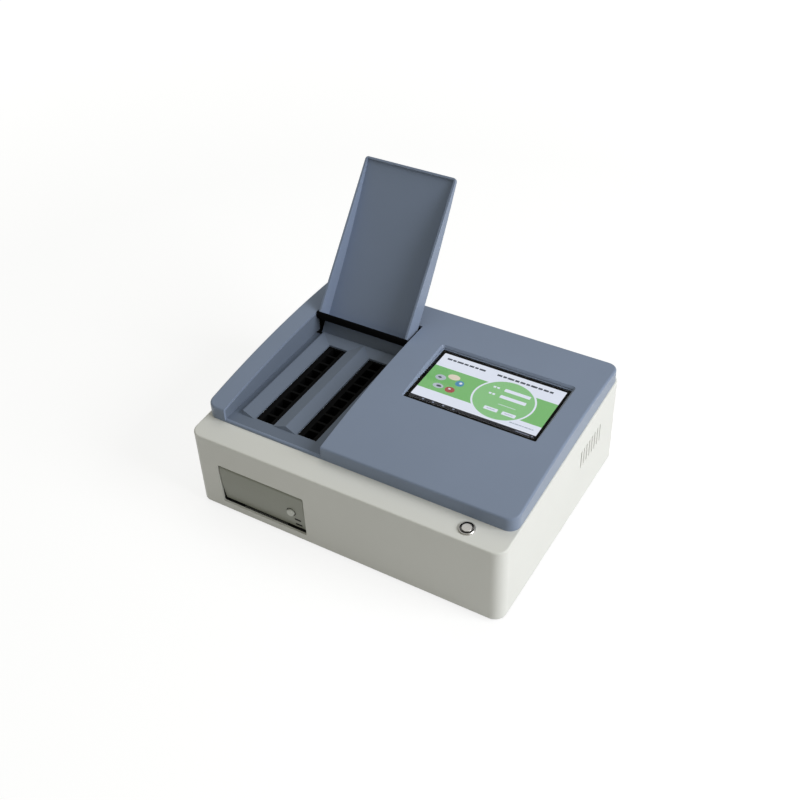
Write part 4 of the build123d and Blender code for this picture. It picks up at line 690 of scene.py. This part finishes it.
class TESTER_OT_stage(bpy.types.Operator):
    """Set the floor, the lamps, the world and the camera"""

    bl_idname = "tester.stage"
    bl_label = "Stage"

    def execute(self, context):
        scene, stage = context.scene, context.scene.tester_stage
        scene.view_settings.view_transform = "Standard"

        mesh = bpy.data.meshes.new("floor")
        mesh.from_pydata([(x * REACH, y * REACH, 0) for x, y in panel(-1, -1, 1, 1)], [], [(0, 1, 2, 3)])
        floor = bpy.data.objects.new("floor", mesh)
        scene.collection.objects.link(floor)
        made, tree, out = blank("floor_white")
        path = put(tree, "ShaderNodeLightPath").outputs
        seen = put(
            tree, "ShaderNodeMath", {0: path["Is Camera Ray"], 1: path["Is Glossy Ray"]}, operation="MAXIMUM"
        )
        seen = put(
            tree, "ShaderNodeMath", {0: seen.outputs[0], 1: path["Is Transmission Ray"]}, operation="MAXIMUM"
        )
        # Lit by the lamps it is a mid tone; seen, it glows white and keeps the object's shadow
        tones = [tuple(c * share for c in stage.floor) for share in (0.7, 0.3)]
        shade = put(tree, "ShaderNodeMix", {0: seen.outputs[0], 6: tones[0], 7: tones[1]}, data_type="RGBA")
        place = put(tree, "ShaderNodeTexCoord").outputs["Object"]
        away = put(tree, "ShaderNodeVectorMath", {0: place}, operation="LENGTH")
        glow = put(
            tree,
            "ShaderNodeMapRange",
            {"Value": away.outputs["Value"], "From Min": 0.8, "From Max": 2.6, "To Min": 0.8, "To Max": 1.0},
        )
        share = put(
            tree, "ShaderNodeMath", {0: seen.outputs[0], 1: glow.outputs["Result"]}, operation="MULTIPLY"
        )
        dull = put(tree, "ShaderNodeBsdfDiffuse", {"Color": shade.outputs[2]})
        bright = put(tree, "ShaderNodeEmission", {"Color": tuple(stage.floor), "Strength": share.outputs[0]})
        both_parts = put(tree, "ShaderNodeAddShader", {0: dull.outputs[0], 1: bright.outputs[0]})
        tree.links.new(both_parts.outputs[0], out.inputs["Surface"])
        mesh.materials.append(made)

        world = bpy.data.worlds.new("studio")
        scene.world = world
        world.use_nodes = True
        tree = world.node_tree
        tree.nodes.clear()
        path = put(tree, "ShaderNodeLightPath").outputs
        even = put(tree, "ShaderNodeBackground", {"Color": (1.0, 0.99, 0.85), "Strength": stage.fill})
        white = put(tree, "ShaderNodeBackground", {"Color": (1, 1, 1), "Strength": 1.0})
        seen = put(
            tree, "ShaderNodeMath", {0: path["Is Camera Ray"], 1: path["Is Transmission Ray"]}, operation="MAXIMUM"
        )
        mixed = put(tree, "ShaderNodeMixShader", {0: seen.outputs[0], 1: even.outputs[0], 2: white.outputs[0]})
        out = tree.nodes.new("ShaderNodeOutputWorld")
        tree.links.new(mixed.outputs[0], out.inputs["Surface"])

        for name, power, size, spot, aim in (
            ("key_right", stage.key, 1.5, (2.5, 0.1, 1.5), (0, 0, 0.08)),
            ("top_soft", stage.top, 1.6, (-0.2, 0.5, 1.8), (0, 0, 0.1)),
        ):
            lamp = bpy.data.lights.new(name, "AREA")
            lamp.energy, lamp.size, lamp.color = power, size, (0.96, 0.98, 1.0)
            held = bpy.data.objects.new(name, lamp)
            held.location = spot
            held.rotation_euler = (Vector(aim) - Vector(spot)).to_track_quat("-Z", "Y").to_euler()
            scene.collection.objects.link(held)

        lens = bpy.data.cameras.new("photo_camera")
        lens.lens, lens.sensor_width = stage.focal, 36.0
        lens.clip_start, lens.clip_end = 0.05, 30.0
        camera = bpy.data.objects.new("photo_camera", lens)
        around, above, turn = (math.radians(a) for a in CAMERA_TURN)
        flat = math.cos(above)
        back = Vector((math.sin(around) * flat, -math.cos(around) * flat, math.sin(above)))
        right = (-back).cross(Vector((0, 0, 1))).normalized()
        up = right.cross(-back)
        right, up = (
            math.cos(turn) * right + math.sin(turn) * up,
            math.cos(turn) * up - math.sin(turn) * right,
        )
        spot = Vector(CAMERA_SPOT) * MM
        camera.matrix_world = Matrix.Translation(spot) @ Matrix((right, up, back)).transposed().to_4x4()
        scene.collection.objects.link(camera)
        scene.camera = camera
        return {"FINISHED"}


class TESTER_PT_panel(bpy.types.Panel):
    """Lists the steps and what can be changed"""

    bl_idname = "TESTER_PT_panel"
    bl_label = "Tester"
    bl_space_type = "VIEW_3D"
    bl_region_type = "UI"
    bl_category = "Tester"

    def draw(self, context):
        for step in STEPS:
            self.layout.operator(step.bl_idname)
        for group in (context.scene.tester_colours, context.scene.tester_sizes, context.scene.tester_stage):
            for key in group.__annotations__:
                self.layout.prop(group, key)


STEPS = (
    TESTER_OT_stage,
    TESTER_OT_finishes,
    TESTER_OT_heel_shade,
    TESTER_OT_rings,
    TESTER_OT_door_gap_shade,
    TESTER_OT_border,
    TESTER_OT_page,
)
GROUPS = {"tester_colours": TesterColours, "tester_sizes": TesterSizes, "tester_stage": TesterStage}


def register():
    """Register the groups, the operators and the panel."""
    for name, group in GROUPS.items():
        bpy.utils.register_class(group)
        setattr(bpy.types.Scene, name, PointerProperty(type=group))
    for kind in (*STEPS, TESTER_PT_panel):
        bpy.utils.register_class(kind)


def unregister():
    """Undo register."""
    for kind in (TESTER_PT_panel, *reversed(STEPS)):
        bpy.utils.unregister_class(kind)
    for name, group in GROUPS.items():
        delattr(bpy.types.Scene, name)
        bpy.utils.unregister_class(group)


def main():
    """Run every step in order."""
    register()
    for step in STEPS:
        group, name = step.bl_idname.split(".")
        getattr(getattr(bpy.ops, group), name)()


if __name__ == "__main__":
    main()
